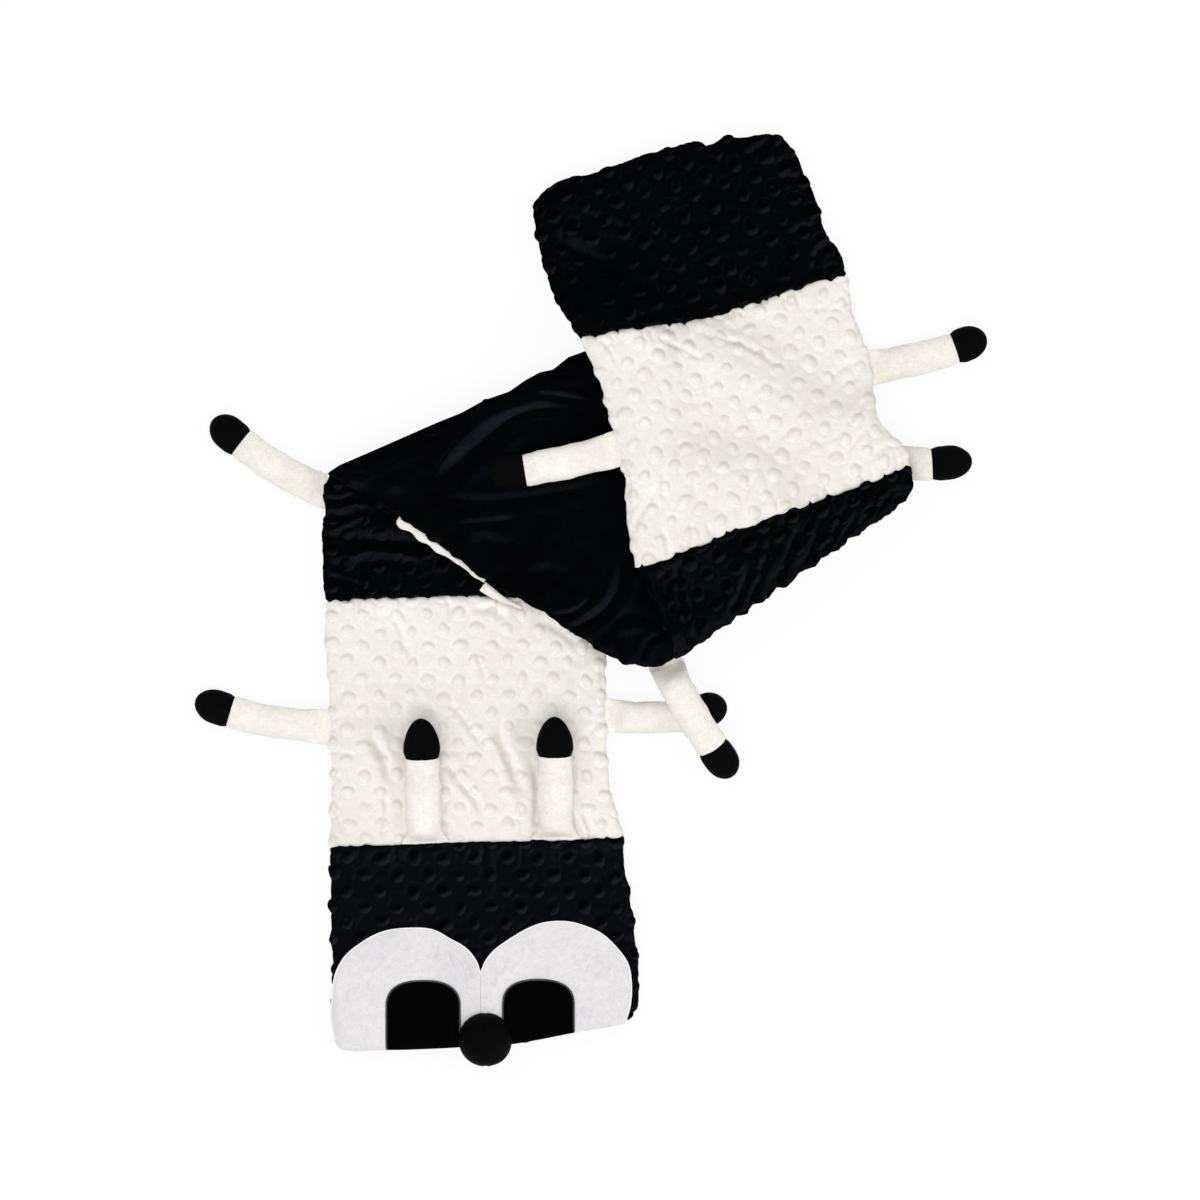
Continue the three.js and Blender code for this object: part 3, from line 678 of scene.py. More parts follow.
def plush(name, colour, shade, painted_highlight=None, painted_shade=None, painted_dot_shade=None, ring=None, pile=1.111, clumps=11.11,
          sheen=0.0, rough=0.92, gloss=0.0):
    """Short knitted pile: brushed patches of colour and shade, and a fine bump for each tuft. Where the
    slope of the cloth faces the painted light it turns to the painted highlight colour, and where it
    faces away to the painted shade colour. The tops of the dots take a darker colour and their feet a
    ring colour, both painted shade.
    pile is the width of a tuft and clumps that of a clump of pile that leans together, in
    millimetres."""
    material = bpy.data.materials.new(name)
    material.use_nodes = True
    surface = material.node_tree.nodes["Principled BSDF"]
    place = add_node(material, "ShaderNodeTexCoord").outputs["Object"]
    patches, brushed, tufts = [
        add_node(material, "ShaderNodeTexNoise", {"Vector": place, "Scale": 1000 / size,
                                                  "Detail": detail, "Roughness": roughness})
        for size, detail, roughness in ((STROKED, 3.0, 0.6), (clumps, 4.0, 0.65), (pile, 2.0, 0.7))]
    broad = add_node(material, "ShaderNodeMath",
                     {0: patches.outputs["Fac"], 1: brushed.outputs["Fac"]}, operation="ADD")
    tone = add_node(material, "ShaderNodeMath",
                    {0: tufts.outputs["Fac"], 1: broad.outputs[0]}, operation="ADD")
    spread = add_node(material, "ShaderNodeMapRange",
                      {"Value": tone.outputs[0], "From Min": 1.14, "From Max": 1.8})
    # What lies over the cloth's shade: how much of it shows, and its colour
    coats = [(spread.outputs[0], colour)]
    if painted_dot_shade or ring:
        mound = add_node(material, "ShaderNodeAttribute", attribute_name="mound").outputs["Fac"]
    # The dot colour is painted shade: the tops of the dots turn darker
    if painted_dot_shade:
        top = add_node(material, "ShaderNodeMapRange",
                       {"Value": mound, "From Min": 0.2, "From Max": 0.8})
        coats.append((top.outputs[0], painted_dot_shade))
    # Painted highlight and painted shade: lighter where the cloth slopes towards the painted light, darker
    # where it slopes away, broken up by tuft and clump noise
    if painted_highlight:
        painted_light = add_node(material, "ShaderNodeAttribute", attribute_name="painted_light").outputs["Fac"]
        painted_light_tufts = add_node(material, "ShaderNodeMath", {0: tufts.outputs["Fac"], 1: 1.3, 2: -0.45},
                           operation="MULTIPLY_ADD")
        painted_light_strength = add_node(material, "ShaderNodeMath",
                           {0: brushed.outputs["Fac"], 1: 1.5, 2: painted_light_tufts.outputs[0]},
                           operation="MULTIPLY_ADD")
    for painted_colour, low, high in ((painted_highlight, 0.05, 1.0), (painted_shade, -0.05, -1.0)):
        if painted_colour:
            painted_light_share = add_node(material, "ShaderNodeMapRange",
                           {"Value": painted_light, "From Min": low, "From Max": high})
            amount = add_node(material, "ShaderNodeMath", {0: painted_light_share.outputs[0], 1: painted_light_strength.outputs[0]},
                              operation="MULTIPLY")
            coats.append((amount.outputs[0], painted_colour))
    # The ring colour is painted shade round the foot of each dot
    if ring:
        foot = add_node(material, "ShaderNodeMapRange", {"Value": mound, "From Min": 0.04,
                                                         "From Max": 0.3, "To Max": 0.34})
        side = add_node(material, "ShaderNodeMapRange", {"Value": mound, "From Min": 0.35,
                                                         "From Max": 0.75, "To Min": 1.0,
                                                         "To Max": 0.12})
        painted_ring_shade = add_node(material, "ShaderNodeMath", {0: foot.outputs[0], 1: side.outputs[0]},
                          operation="MULTIPLY")
        coats.append((painted_ring_shade.outputs[0], ring))
    tint = linear(shade)
    for amount, over in coats:
        tint = add_node(material, "ShaderNodeMix", {"Factor": amount, 6: tint, 7: linear(over)},
                        data_type="RGBA").outputs[2]
    fine = add_node(material, "ShaderNodeBump",
                    {"Strength": 0.6, "Distance": TUFT_DEPTH, "Height": tufts.outputs["Fac"]})
    coarse = add_node(material, "ShaderNodeBump",
                      {"Strength": 0.35, "Distance": TUFT_DEPTH * 2.4, "Height": brushed.outputs["Fac"],
                       "Normal": fine.outputs["Normal"]})
    links = material.node_tree.links
    links.new(tint, surface.inputs["Base Color"])
    links.new(coarse.outputs["Normal"], surface.inputs["Normal"])
    surface.inputs["Roughness"].default_value = rough
    surface.inputs["Specular IOR Level"].default_value = gloss
    surface.inputs["Sheen Weight"].default_value = sheen
    surface.inputs["Sheen Roughness"].default_value = 0.4
    finishes[name] = material


def thread_finish(name, colour):
    """Twisted polyester thread: a slight gloss on each turn. Real fibres are too fine to show, so
    they are drawn two thirds of a millimetre wide."""
    material = bpy.data.materials.new(name)
    material.use_nodes = True
    surface = material.node_tree.nodes["Principled BSDF"]
    place = add_node(material, "ShaderNodeTexCoord").outputs["Object"]
    fibres = add_node(material, "ShaderNodeTexNoise",
                      {"Vector": place, "Scale": 1000 / FIBRE, "Detail": 2.0})
    bump = add_node(material, "ShaderNodeBump",
                    {"Strength": 0.4, "Distance": 0.0002, "Height": fibres.outputs["Fac"]})
    material.node_tree.links.new(bump.outputs["Normal"], surface.inputs["Normal"])
    surface.inputs["Base Color"].default_value = linear(colour)
    surface.inputs["Roughness"].default_value = 0.55
    surface.inputs["Sheen Weight"].default_value = 0.2
    finishes[name] = material


class INCHWORM_OT_dye_cloth(bpy.types.Operator):
    """Makes the plush, velvet, thread and pouch finishes"""

    bl_idname = "inchworm.dye_cloth"
    bl_label = "Dye the cloth"

    def execute(self, context):
        c = colours()
        # Real tufts stand about half a millimetre apart, too fine to show in the render, so each
        # pile is drawn coarser, 0.8 to 2.4 mm wide

        # Dimple-dot polyester plush: matt, chalky white, with a ring of painted shade at the foot of each
        # dot, and painted highlight and painted shade on slopes that face towards or away from the painted
        # light
        plush("dotted_plush_white", c.white, "#e6e2da", painted_highlight="#fffdf9", painted_shade="#dad6cd",
              ring="#d9d3c8", pile=2.381, gloss=0.1)
        # The same cloth in black: tops of the dots painted darker as shade, grey painted highlight on
        # flanks that face the painted light
        plush("dotted_plush_black", c.black, "#030405", painted_highlight="#191b20", painted_dot_shade="#030304", pile=2.0)
        # The head's black, a shade lighter than that of the other bands, with the same painted shade and
        # highlight
        plush("dotted_plush_head", c.head, "#090a0c", painted_highlight="#1f2127", painted_dot_shade="#040405", pile=2.0)
        # Smooth minky of the back: no dots, grey painted highlight on folds that face the painted light
        plush("smooth_plush_black", c.back, "#030305", painted_highlight="#1b1d23", pile=2.0)
        # Cream fleece of the legs and feelers: warm, slightly fuzzy in low light
        plush("cream_plush", c.cream, "#e7e1d5", pile=2.083, clumps=6.25, sheen=0.1, gloss=0.1)
        # Matt black velour of the feet, tips and nose: an even, light-swallowing black
        plush("matt_black_plush", c.matt, "#030304", pile=0.8333, rough=0.6, gloss=0.02)
        # Velvet of the eyes: cool off-white with small cloudy patches
        plush("eye_velvet", c.eye, "#d5d3d5", pile=1.613, clumps=6.667, gloss=0.1)
        # Velvet of the pupils: the blackest cloth, almost without a highlight
        plush("pupil_velvet", "#020203", "#010102", pile=0.8333, rough=0.6, gloss=0.01)
        # Plain cotton of the pouches: dull off-white, hidden in the pad
        plush("pouch_cotton", c.pouch, "#cbc7be", rough=0.85, gloss=0.2)
        # Satin stitching: thread of a slight gloss that catches light on each turn
        thread_finish("eye_thread", c.thread)
        thread_finish("black_thread", "#131418")
        return {"FINISHED"}


# ---- Bands of the pad


def spaced(length, step, edges=(0.5, 1.3, 2.4, 3.8)):
    """Shares of a length, close together at both ends and evenly spread between."""
    if length < 4 * edges[-1]:
        return np.linspace(0, 1, max(4, int(length / step)))
    count = max(2, int(round((length - 2 * edges[-1]) / step)))
    middle = np.linspace(edges[-1], length - edges[-1], count + 1)
    last = [length - e for e in reversed(edges[:-1])]
    return np.concatenate(((0,), edges[:-1], middle, last, (length,))) / length


def unfolded(points, fold):
    """Strip coordinates of points, carried round a fold so that dots and creases run on over it."""
    normal = np.array(fold["out"])
    inward = -((points - np.array(fold["line"][0], float)) @ normal)
    foot = points + inward[..., None] * normal
    thick = pad().thick * 1000
    bend = np.clip(inward / thick, 0, 1)
    arc = np.where(inward < thick, thick * np.arccos(1 - bend), thick * (math.pi / 2 - 1) + inward)
    sign = -1 if fold["near"] else 1
    return on_strip(foot + (sign * arc)[..., None] * normal, fold["onto"])


def creased(points, creases):
    """Sum of single creases: a line on the plan, its depth and its half width in millimetres. A
    negative depth is a ridge."""
    total = np.zeros(points.shape[:-1])
    for line, depth, wide in creases:
        line = smooth_line(line, 24)
        near = ((points > line.min(0) - 4 * wide) & (points < line.max(0) + 4 * wide)).all(-1)
        spots = points[near]
        best = np.full(len(spots), FAR)
        place = np.zeros(len(spots))
        for i, (p, q) in enumerate(zip(line[:-1], line[1:])):
            way = q - p
            k = np.clip(((spots - p) @ way) / max(1e-9, way @ way), 0, 1)
            gap = np.linalg.norm(spots - p - k[..., None] * way, axis=-1)
            place = np.where(gap < best, (i + k) / (len(line) - 1), place)
            best = np.minimum(best, gap)
        taper = smooth(place / 0.3) * smooth((1 - place) / 0.3)
        valley = np.exp(-(best / wide) ** 2) - 0.28 * np.exp(-((best - 2.1 * wide) / (1.3 * wide)) ** 2)
        total[near] -= depth * taper * valley
    return total


# Creases seen in the cloth: line on the plan, depth, half width
CREASES = {
    "white_1": [
        ([(-192, -12), (-184, -30), (-178, -45), (-170, -66)], 1.5, 2.6),
        ([(-227, 2), (-226, -12), (-228, -24)], 1.6, 1.8),
        ([(-138, 0), (-135, -12), (-136, -24)], 1.6, 1.8),
        ([(-110, -53), (-105, -66), (-102, -84)], 1.6, 2.4),
        ([(-142, -96), (-128, -110), (-118, -122), (-110, -134), (-102, -148)], 2.2, 3.2),
        ([(-140, -152), (-132, -168), (-122, -182), (-110, -196), (-104, -216)], 4.0, 3.4),
        ([(-139, -190), (-141, -208), (-137, -222), (-133, -236)], 3.2, 3.0),
        ([(-28, -186), (-22, -206), (-13, -220), (-7, -236)], 3.8, 3.0),
        ([(-3, -192), (-4, -212), (4, -232)], 2.4, 2.4),
        ([(-84, -110), (-86, -134), (-79, -154), (-71, -174), (-67, -202)], 4.2, 5.2),
        ([(-24, -112), (-20, -128), (-24, -146), (-22, -160)], 3.4, 4.6),
        ([(-55, -156), (-52, -176), (-51, -202), (-52, -236)], 3.2, 3.2),
        ([(-216, -128), (-206, -142), (-198, -160), (-193, -184)], 3.4, 4.8),
        ([(-200, -186), (-196, -204), (-198, -220), (-200, -238)], 2.6, 3.2),
        ([(-252, -196), (-242, -216), (-234, -238)], 1.4, 2.4),
        ([(-250, -168), (-240, -178)], 1.2, 2.4),
        ([(-60, -20), (-40, -26), (-22, -38), (-4, -54)], 1.6, 4.0),
        ([(-118, -10), (-96, -12), (-78, -20)], 1.8, 4.0),
        ([(20, -118), (2, -128), (-8, -140)], 1.4, 3.0),
        ([(-40, -80), (-52, -96), (-58, -112)], -1.2, 5.0),
        ([(-170, -84), (-156, -98), (-138, -104)], -1.2, 5.0),
    ],
    "black_2_lower": [
        ([(-264, 60), (-234, 57), (-200, 55), (-165, 52), (-135, 42)], 4.0, 6.5),
        ([(-262, 40), (-232, 40), (-206, 46), (-176, 41), (-150, 36)], -2.4, 5.0),
        ([(-258, 28), (-236, 22), (-212, 14)], -1.8, 3.4),
        ([(-264, 86), (-244, 86), (-226, 90), (-208, 88)], -2.0, 2.6),
        ([(-264, 79), (-242, 78), (-222, 82)], 2.2, 3.0),
        ([(-264, 66), (-246, 66), (-226, 76), (-208, 84)], -1.8, 2.6),
        ([(-264, 95), (-246, 95), (-226, 98)], 1.8, 2.4),
        ([(-262, 104), (-248, 99), (-232, 97)], -1.6, 2.2),
        ([(-258, 112), (-246, 106), (-234, 104)], 1.6, 2.2),
        ([(-200, 20), (-190, 8), (-186, -2)], 1.2, 2.4),
        ([(-226, 10), (-224, -4)], 1.3, 2.0),
        ([(-150, 26), (-140, 12), (-138, -2)], 1.3, 2.6),
    ],
    "white_3": [
        ([(98, 258), (125, 250), (150, 243), (170, 231), (190, 219)], 1.5, 3.0),
        ([(58, 252), (84, 242), (102, 232), (118, 228)], 1.6, 2.4),
        ([(8, 250), (20, 236), (26, 222)], 1.8, 2.2),
        ([(267, 198), (261, 184), (253, 172), (246, 163)], 2.2, 2.8),
        ([(263, 230), (244, 222), (229, 208), (220, 194)], 1.3, 3.2),
        ([(262, 214), (250, 208), (240, 203)], 1.1, 2.6),
        ([(213, 201), (205, 188), (197, 172), (186, 156), (172, 142)], 1.4, 3.4),
        ([(246, 158), (242, 143), (232, 127)], 1.6, 2.8),
        ([(158, 124), (152, 106), (144, 90), (138, 74)], 2.2, 2.8),
        ([(176, 118), (170, 100), (160, 84)], 2.2, 2.8),
        ([(212, 134), (196, 118), (184, 98), (178, 84)], 2.0, 3.0),
        ([(236, 150), (226, 128), (220, 102)], 1.4, 3.4),
        ([(272, 168), (256, 152), (244, 134), (238, 112)], 2.0, 3.0),
        ([(292, 150), (276, 140), (262, 122)], 1.6, 2.6),
        ([(40, 80), (36, 108), (31, 132), (20, 162)], 2.4, 2.2),
        ([(64, 110), (58, 96), (50, 82), (40, 66)], 2.2, 2.4),
        ([(72, 128), (70, 106), (74, 86)], 1.4, 2.4),
        ([(88, 152), (82, 134)], 1.3, 2.4),
        ([(104, 128), (99, 108), (104, 88)], 1.5, 2.6),
        ([(68, 70), (74, 52), (76, 34)], 1.8, 2.4),
        ([(96, 74), (98, 58), (94, 44)], 1.6, 2.2),
        ([(60, 232), (46, 222), (40, 204)], 1.2, 2.6),
        ([(120, 224), (112, 204), (114, 186)], 1.2, 3.0),
        ([(150, 270), (140, 282)], 1.6, 2.0),
        ([(236, 284), (220, 278), (206, 266)], 1.4, 2.6),
        ([(256, 290), (240, 280), (226, 276)], 1.4, 2.2),
    ],
    "black_3_lower": [
        ([(98, -52), (90, -18), (85, 8), (83, 38)], 2.4, 2.6),
        ([(104, -46), (102, -22), (92, 4)], 1.8, 2.2),
        ([(125, -38), (138, -12), (149, 14), (153, 38)], 2.6, 3.0),
        ([(142, -30), (158, 4), (168, 34), (173, 60)], 3.4, 3.2),
        ([(164, -20), (180, 14), (194, 48), (201, 72)], 3.4, 3.2),
        ([(184, -4), (202, 26), (216, 54), (222, 78)], 2.6, 3.0),
        ([(208, 18), (226, 46), (240, 72), (246, 92)], 2.4, 3.0),
        ([(228, 33), (246, 60), (258, 84)], 2.0, 2.8),
        ([(250, 50), (264, 72), (272, 94)], 1.8, 2.6),
        ([(268, 62), (280, 84), (288, 106)], 1.6, 2.6),
        ([(66, 4), (72, -16), (80, -38)], 1.6, 2.4),
        ([(56, 20), (64, 8)], 1.2, 2.2),
        ([(50, 26), (56, 4), (66, -18), (78, -46)], 1.8, 2.0),
        ([(58, 24), (66, 0), (76, -22), (86, -50)], 2.0, 2.2),
        ([(70, 20), (78, -8), (90, -36)], 1.6, 2.2),
    ],
    "tail": [
        ([(-44, 352), (-14, 336), (14, 322), (44, 306), (84, 280)], 3.4, 6.0),
        ([(-40, 366), (-14, 350), (14, 340)], -1.6, 5.0),
        ([(-12, 372), (18, 362), (40, 352)], 1.6, 4.0),
        ([(238, 346), (222, 336), (217, 322), (220, 308)], 3.0, 3.0),
        ([(226, 362), (206, 356), (190, 350)], 2.0, 3.4),
        ([(214, 400), (196, 406), (178, 404)], 1.8, 3.0),
        ([(206, 424), (190, 424), (174, 414)], 1.6, 3.0),
        ([(176, 448), (168, 438), (156, 430)], 1.4, 3.0),
        ([(30, 420), (34, 406)], 1.6, 2.4),
        ([(118, 440), (122, 426)], 1.8, 2.4),
        ([(-26, 290), (-22, 270)], 1.6, 3.0),
        ([(150, 300), (140, 330), (140, 352)], -1.0, 6.0),
    ],
    "head": [
        ([(-248, -250), (-240, -262), (-236, -280)], 1.4, 3.0),
        ([(-190, -240), (-186, -256)], 1.4, 2.2),
        ([(-100, -238), (-104, -258), (-98, -276)], 1.6, 3.0),
        ([(-20, -238), (-10, -258), (6, -270)], 1.6, 3.0),
        ([(34, -250), (26, -268), (30, -290)], 1.6, 3.0),
        ([(48, -320), (36, -318), (26, -306)], 1.4, 2.6),
    ],
    "black_2_upper": [
        ([(-258, 116), (-244, 108), (-228, 98), (-206, 82), (-188, 72)], 1.6, 2.2),
        ([(-252, 120), (-236, 114), (-222, 104), (-208, 88)], 1.5, 2.4),
        ([(-172, 160), (-156, 156), (-142, 153)], 1.6, 2.0),
        ([(-240, 122), (-224, 118), (-212, 120)], 1.2, 3.0),
        ([(-200, 110), (-176, 106), (-158, 92)], -1.2, 7.0),
    ],
    "white_2_upper": [
        ([(-150, 106), (-128, 128), (-104, 150), (-84, 166), (-60, 180)], 5.0, 8.0),
        ([(-92, 164), (-70, 176), (-44, 182), (-20, 178)], 2.2, 3.0),
        ([(-60, 196), (-36, 194), (-12, 190), (4, 184)], 1.8, 2.4),
        ([(-134, 178), (-116, 180), (-98, 178)], 1.6, 2.2),
        ([(-86, 206), (-66, 200), (-46, 204)], 1.8, 3.4),
        ([(-44, 222), (-30, 214), (-14, 214)], 1.4, 3.0),
        ([(-150, 96), (-110, 92), (-60, 96), (-10, 104), (26, 112)], 1.6, 5.0),
        ([(-130, 70), (-96, 72), (-66, 76)], 1.4, 3.0),
        ([(-120, 50), (-96, 52), (-70, 44)], 1.8, 7.0),
        ([(-60, 22), (-38, 24), (-14, 18)], 1.6, 7.0),
        ([(-42, -16), (-24, -17), (-8, -10), (6, 4)], 2.2, 3.0),
    ],
    "black_3_upper": [
        ([(-26, -34), (-4, -24), (14, -12), (26, 4), (30, 40)], 3.4, 5.0),
        ([(-10, -42), (10, -50), (26, -60)], 1.6, 2.4),
        ([(50, -62), (56, -44), (70, -34)], 1.4, 3.0),
        ([(20, -34), (40, -28), (56, -32)], -1.4, 6.0),
    ],
}

# The back of the middle run is one smooth surface, so its bands share their creases
BACK_BANDS = {"middle": ("black_2_upper", "white_2_upper", "black_3_upper"), "front": (), "rear": ()}

# How far each rim stands out or draws in along its length: place along it and millimetres
RIM_WAVES = {
    1: [(0, -0.5), (0.05, 1.6), (0.2, 0.4), (0.38, -0.8), (0.46, -2.2), (0.54, -0.4), (0.62, -3.0),
        (0.68, 0.4), (0.73, 1.4), (0.77, -1.6), (0.83, 3.0), (0.88, 1.6), (1, 0)],
    2: [(0, 0.5), (0.045, 2.0), (0.075, 1.6), (0.105, -1.2), (0.15, 1.8), (0.185, -1.6), (0.24, 2.0),
        (0.27, -2.2), (0.31, 1.8), (0.345, -2.0), (0.40, 2.2), (0.445, -2.2), (0.50, 2.2), (0.545, -2.0),
        (0.60, 2.2), (0.65, -2.0), (0.70, 2.2), (0.75, -1.8), (0.79, 2.0), (0.83, -1.6), (0.87, 1.8),
        (0.90, -1.6), (0.94, 1.4), (0.965, -1.4), (1, 0.5)],
}


def rim_wave(points, fold):
    """Plan shift of cloth near a rim, the same for both layers that meet there."""
    line = np.array(fold["line"], float)
    way = line[1] - line[0]
    share = ((points - line[0]) @ way) / (way @ way)
    wave = np.array(RIM_WAVES[fold["number"]])
    return np.interp(share, wave[:, 0], wave[:, 1])[..., None] * np.array(fold["out"])


# Between the points of a back panel and of a pouch, in millimetres
BACK_STEP = 2.6
POUCH_STEP = 7.0
# From the pouch to the middle of the cloth over it
POUCH_GAP = 3.4
UNDER_EDGE_SHARE = 0.62
# Plan points given as the bend of the head's cloth, from the first to the second; only that a bend is given
# is used
NECK_BEND = ((-110, -236), (-110, -262))


def lay_band(name, run, body, low, high, left, right, length, width, edges, seams=(), folds=(),
             skin="dotted_plush_white", covers=(), seed=1):
    """One band of the pad: dotted front panel, smooth back panel and the pellet pouch between."""
    sizes = pad()
    step = sizes.weave_step * 1000 * 1
    thick = sizes.thick * 1000
    dot_high = sizes.dot_height * 1000
    front_up = run != "middle"

    def shape(step, facing_up, front):
        """Plan and height of a panel without its relief, the distance of each point to the side
        edges, the seams and the folds, and how far its seam swells."""
        across, down = spaced(width, step), spaced(length, step)
        plan = patch(low, high, left, right, across, down)
        edge = np.ones(plan.shape[:2])
        edge_gap = np.full(plan.shape[:2], FAR)
        run_out = sizes.edge_run * 1000 * (1.0 if facing_up else UNDER_EDGE_SHARE)
        for line in edges:
            gap = nearest(plan, line)
            edge *= rounded(gap, run_out)
            edge_gap = np.minimum(edge_gap, gap)
        dip = np.zeros(plan.shape[:2])
        seam_gap = np.full(plan.shape[:2], FAR)
        bulge = np.zeros(plan.shape[:2])
        for line in seams:
            gap = nearest(plan, line)
            bulge = np.where(gap < seam_gap, white_bulges(line), bulge)
            seam_gap = np.minimum(seam_gap, gap)
            depth = sizes.seam_dip * 1000 if front else 0.15
            dip = np.maximum(dip, depth * (1 - rounded(gap, 15 if front else 20)))
        half = (thick / 2 - dip) * edge
        height = thick / 2 + support(run, plan) + (half if facing_up else -half)
        fold_gap = np.full(plan.shape[:2], FAR)
        for fold in folds:
            gap = nearest(plan, fold["path"])
            fold_gap = np.minimum(fold_gap, gap)
            if fold["outer"] == ("up" if facing_up else "down"):
                height = fold["height"] + (height - fold["height"]) * rounded(gap, thick)
        return plan, height, edge_gap, seam_gap, fold_gap, bulge

    def cloth(facing_up, front):
        """Points of a panel with its relief, and how far up a dot each point is."""
        plan, height, edge_gap, seam_gap, fold_gap, bulge = shape(
            step if front else max(step, BACK_STEP), facing_up, front)
        inner_folds = [f for f in folds if f["outer"] != ("up" if facing_up else "down")]
        points = np.concatenate((plan, height[..., None]), -1)
        normal = surface_normals(points)
        if (normal[..., 2].mean() > 0) != facing_up:
            normal = -normal
        fold = next((f for f in folds if f.get("onto")), None)
        u, v = unfolded(plan, fold) if front and fold else on_strip(plan, run)
        hidden = not facing_up
        # Relief fades out at the borders and is calm where the panel lies underneath
        fade = smooth(np.minimum(edge_gap, seam_gap if front else 99) / 3.5)
        calm = 0.25 if hidden else 1.0
        lumps = pad_lumps(u, v, seed) * fade * calm
        # Gathers along the seams, across the side edges, and faint ones in between
        uneven = np.clip(0.6 + 1.1 * soft_noise(u / 31, v / 90, seed + 8), 0.1, 1.5)
        gathers = (2.4 * uneven * np.exp(-seam_gap / 13) * pleats(u / 12, v / 60, seed + 5)
                   + 1.2 * np.exp(-edge_gap / 9) * pleats(u / 40, v / 13, seed + 6)
                   + 0.6 * pleats(u / 26, v / 33, seed + 7))
        mounds = np.zeros(plan.shape[:2])
        if front:
            move = lumps + gathers * fade * calm
            dot_rise = dot_high * dots(u, v, fold["onto"] if fold else run)
            dot_fade = smooth((edge_gap - 0.3) / 1.6) * smooth((seam_gap - 0.5) / 3.5)
            if inner_folds:
                dot_fade = dot_fade * smooth((fold_gap - 4) / 6)
            # A dot can't stand up out of a hidden panel, so the ground round it sinks
            sunk = np.zeros(plan.shape[:2])
            if hidden:
                sunk = smooth((np.minimum(edge_gap, fold_gap) - 6) / 10)
            relief = creased(plan, () if hidden else CREASES.get(name, ())) * fade
            for outline, left_over, start, run_in, sinks in covers:
                outline = np.array(outline, float)
                depth = nearest(plan, np.vstack((outline, outline[:1])))
                depth = np.where(inside(plan, outline), depth, -depth)
                pressed = (1 - left_over) * smooth((depth - start) / run_in)
                if sinks:
                    sunk = np.maximum(sunk, pressed)
                else:
                    dot_fade = dot_fade * (1 - pressed)
                move = lumps + (move - lumps) * (1 - pressed)
                relief = relief * (1 - pressed)
            move = move + dot_rise * dot_fade - 1.1 * dot_high * sunk + relief
            mounds = dot_rise * dot_fade / dot_high
        else:
            move = lumps + 0.3 * gathers * fade * calm * smooth((seam_gap - 4) / 20)
            whole = [one for band in BACK_BANDS[run] for one in CREASES[band]]
            move = move + creased(plan, whole) * fade * calm
        if inner_folds:
            move = move * smooth((fold_gap - 3) / 5)
        elif folds and not (front and fold):
            move = move * smooth(fold_gap / 8)
        if hidden:
            move = np.minimum(move, 3.0 if folds else 0.0)
        points = points + normal * move[..., None]
        # Side edges draw in, least where a dot reaches the rim
        pinch = 1.3 * np.exp(-(edge_gap / 2.0) ** 2) + (1.6 * np.exp(-edge_gap / 3) if hidden else 0)
        toward = unit(plan.reshape(-1, 2).mean(0) - plan)
        x, y = plan[..., 0], plan[..., 1]
        rim_dots = np.zeros(plan.shape[:2])
        rim = edge_gap < 24
        rim_dots[rim] = dots(*on_strip(plan[rim] + 4.5 * toward[rim], run), run)
        pinch = pinch + np.exp(-edge_gap / 5) * (1.2 * soft_noise(x / 9, y / 9, 71)
                                                 - 0.8 * pleats(x / 12, y / 12, 74)
                                                 + 0.9 - 2.4 * np.clip(rim_dots, 0, 1))
        points[..., :2] += toward * pinch[..., None]
        # White cloth swells over the black in small scallops at a seam
        scallop = 0.5 + pleats(x / 12.5 + y / 60, y / 12.5 + x / 60, 73)
        waver = bulge * scallop * np.exp(-seam_gap / 5)
        waver = waver + 0.7 * np.exp(-seam_gap / 4) * soft_noise(x / 6, y / 6, 72) * (bulge != 0)
        turn = math.radians(RUN_TURN[run])
        points[..., :2] += waver[..., None] * np.array((math.cos(turn), math.sin(turn)))
        # Both layers follow the waves of a rim, and the one inside stays clear of the outer one
        for one in folds:
            points[..., :2] += rim_wave(plan, one) * np.exp(-fold_gap / 14)[..., None]
        for one in inner_folds:
            back_off = 4.5 * np.exp(-nearest(plan, one["path"]) / 6)
            points[..., :2] -= np.array(one["out"]) * back_off[..., None]
        if not front:
            # Backs lap over each other at a seam, so that no light shows through
            for end, next_row in ((0, 1), (-1, -2)):
                lap = 1.3 * unit(plan[end] - plan[next_row])
                points[end, :, :2] += lap * (seam_gap[end] < 0.3)[:, None]
        points[..., 2] = np.maximum(points[..., 2], FLOOR_GAP)
        if facing_up and run in tops:
            remember_top(run, plan, height)
        return points, mounds

    layers = {}
    for facing_up, front in ((front_up, True), (not front_up, False)):
        node = f"{name}_{'front' if front else 'back'}_panel"
        points, mounds = cloth(facing_up, front)
        layers[facing_up] = points
        piece = add_cloth(node + "_cloth", points, facing_up)
        finish = skin if front else "smooth_plush_black"
        # Stores the painted light and shade from the slope of the cloth, and how far up a dot each point is
        paint_slope_light(piece, points, mounds, PAINTED_LIGHT_WAY["white" if finish == "dotted_plush_white" else "black"],
                  9 if front else 6)
        modify(piece, "SOLIDIFY", thickness=sizes.cloth, offset=-1, use_even_offset=False)
        smooth_shade(piece)
        bend = ("front_run", *map(row_point, NECK_BEND)) if body == "head" else None
        finish_piece(piece, finish, body, node, bend=bend)
    sew_pouch(name, body, shape, layers[True], layers[False], folds)


def white_bulges(line):
    """How far the white cloth swells over the black at a seam, along the strip, in millimetres."""
    ends = {tuple(NECK[0]): -1.4, tuple(WAIST[0]): 1.4, tuple(HIP[0]): -2.6, tuple(RUMP[0]): 2.4}
    return ends.get(tuple(np.round(line[0], 6)), 0.0)


def pad_lumps(u, v, seed):
    """The pellets gather in broad soft lumps."""
    return 1.0 * soft_noise(u / 52, v / 46, seed + 3) + 0.5 * soft_noise(u / 21, v / 23, seed + 4)


def pleats(u, v, seed):
    """Narrow valleys between broad ridges, from -1 to about 0.3."""
    return 0.3 - 1.3 * np.clip(1 - np.abs(soft_noise(u, v, seed)) * 2.2, 0, 1) ** 1.5


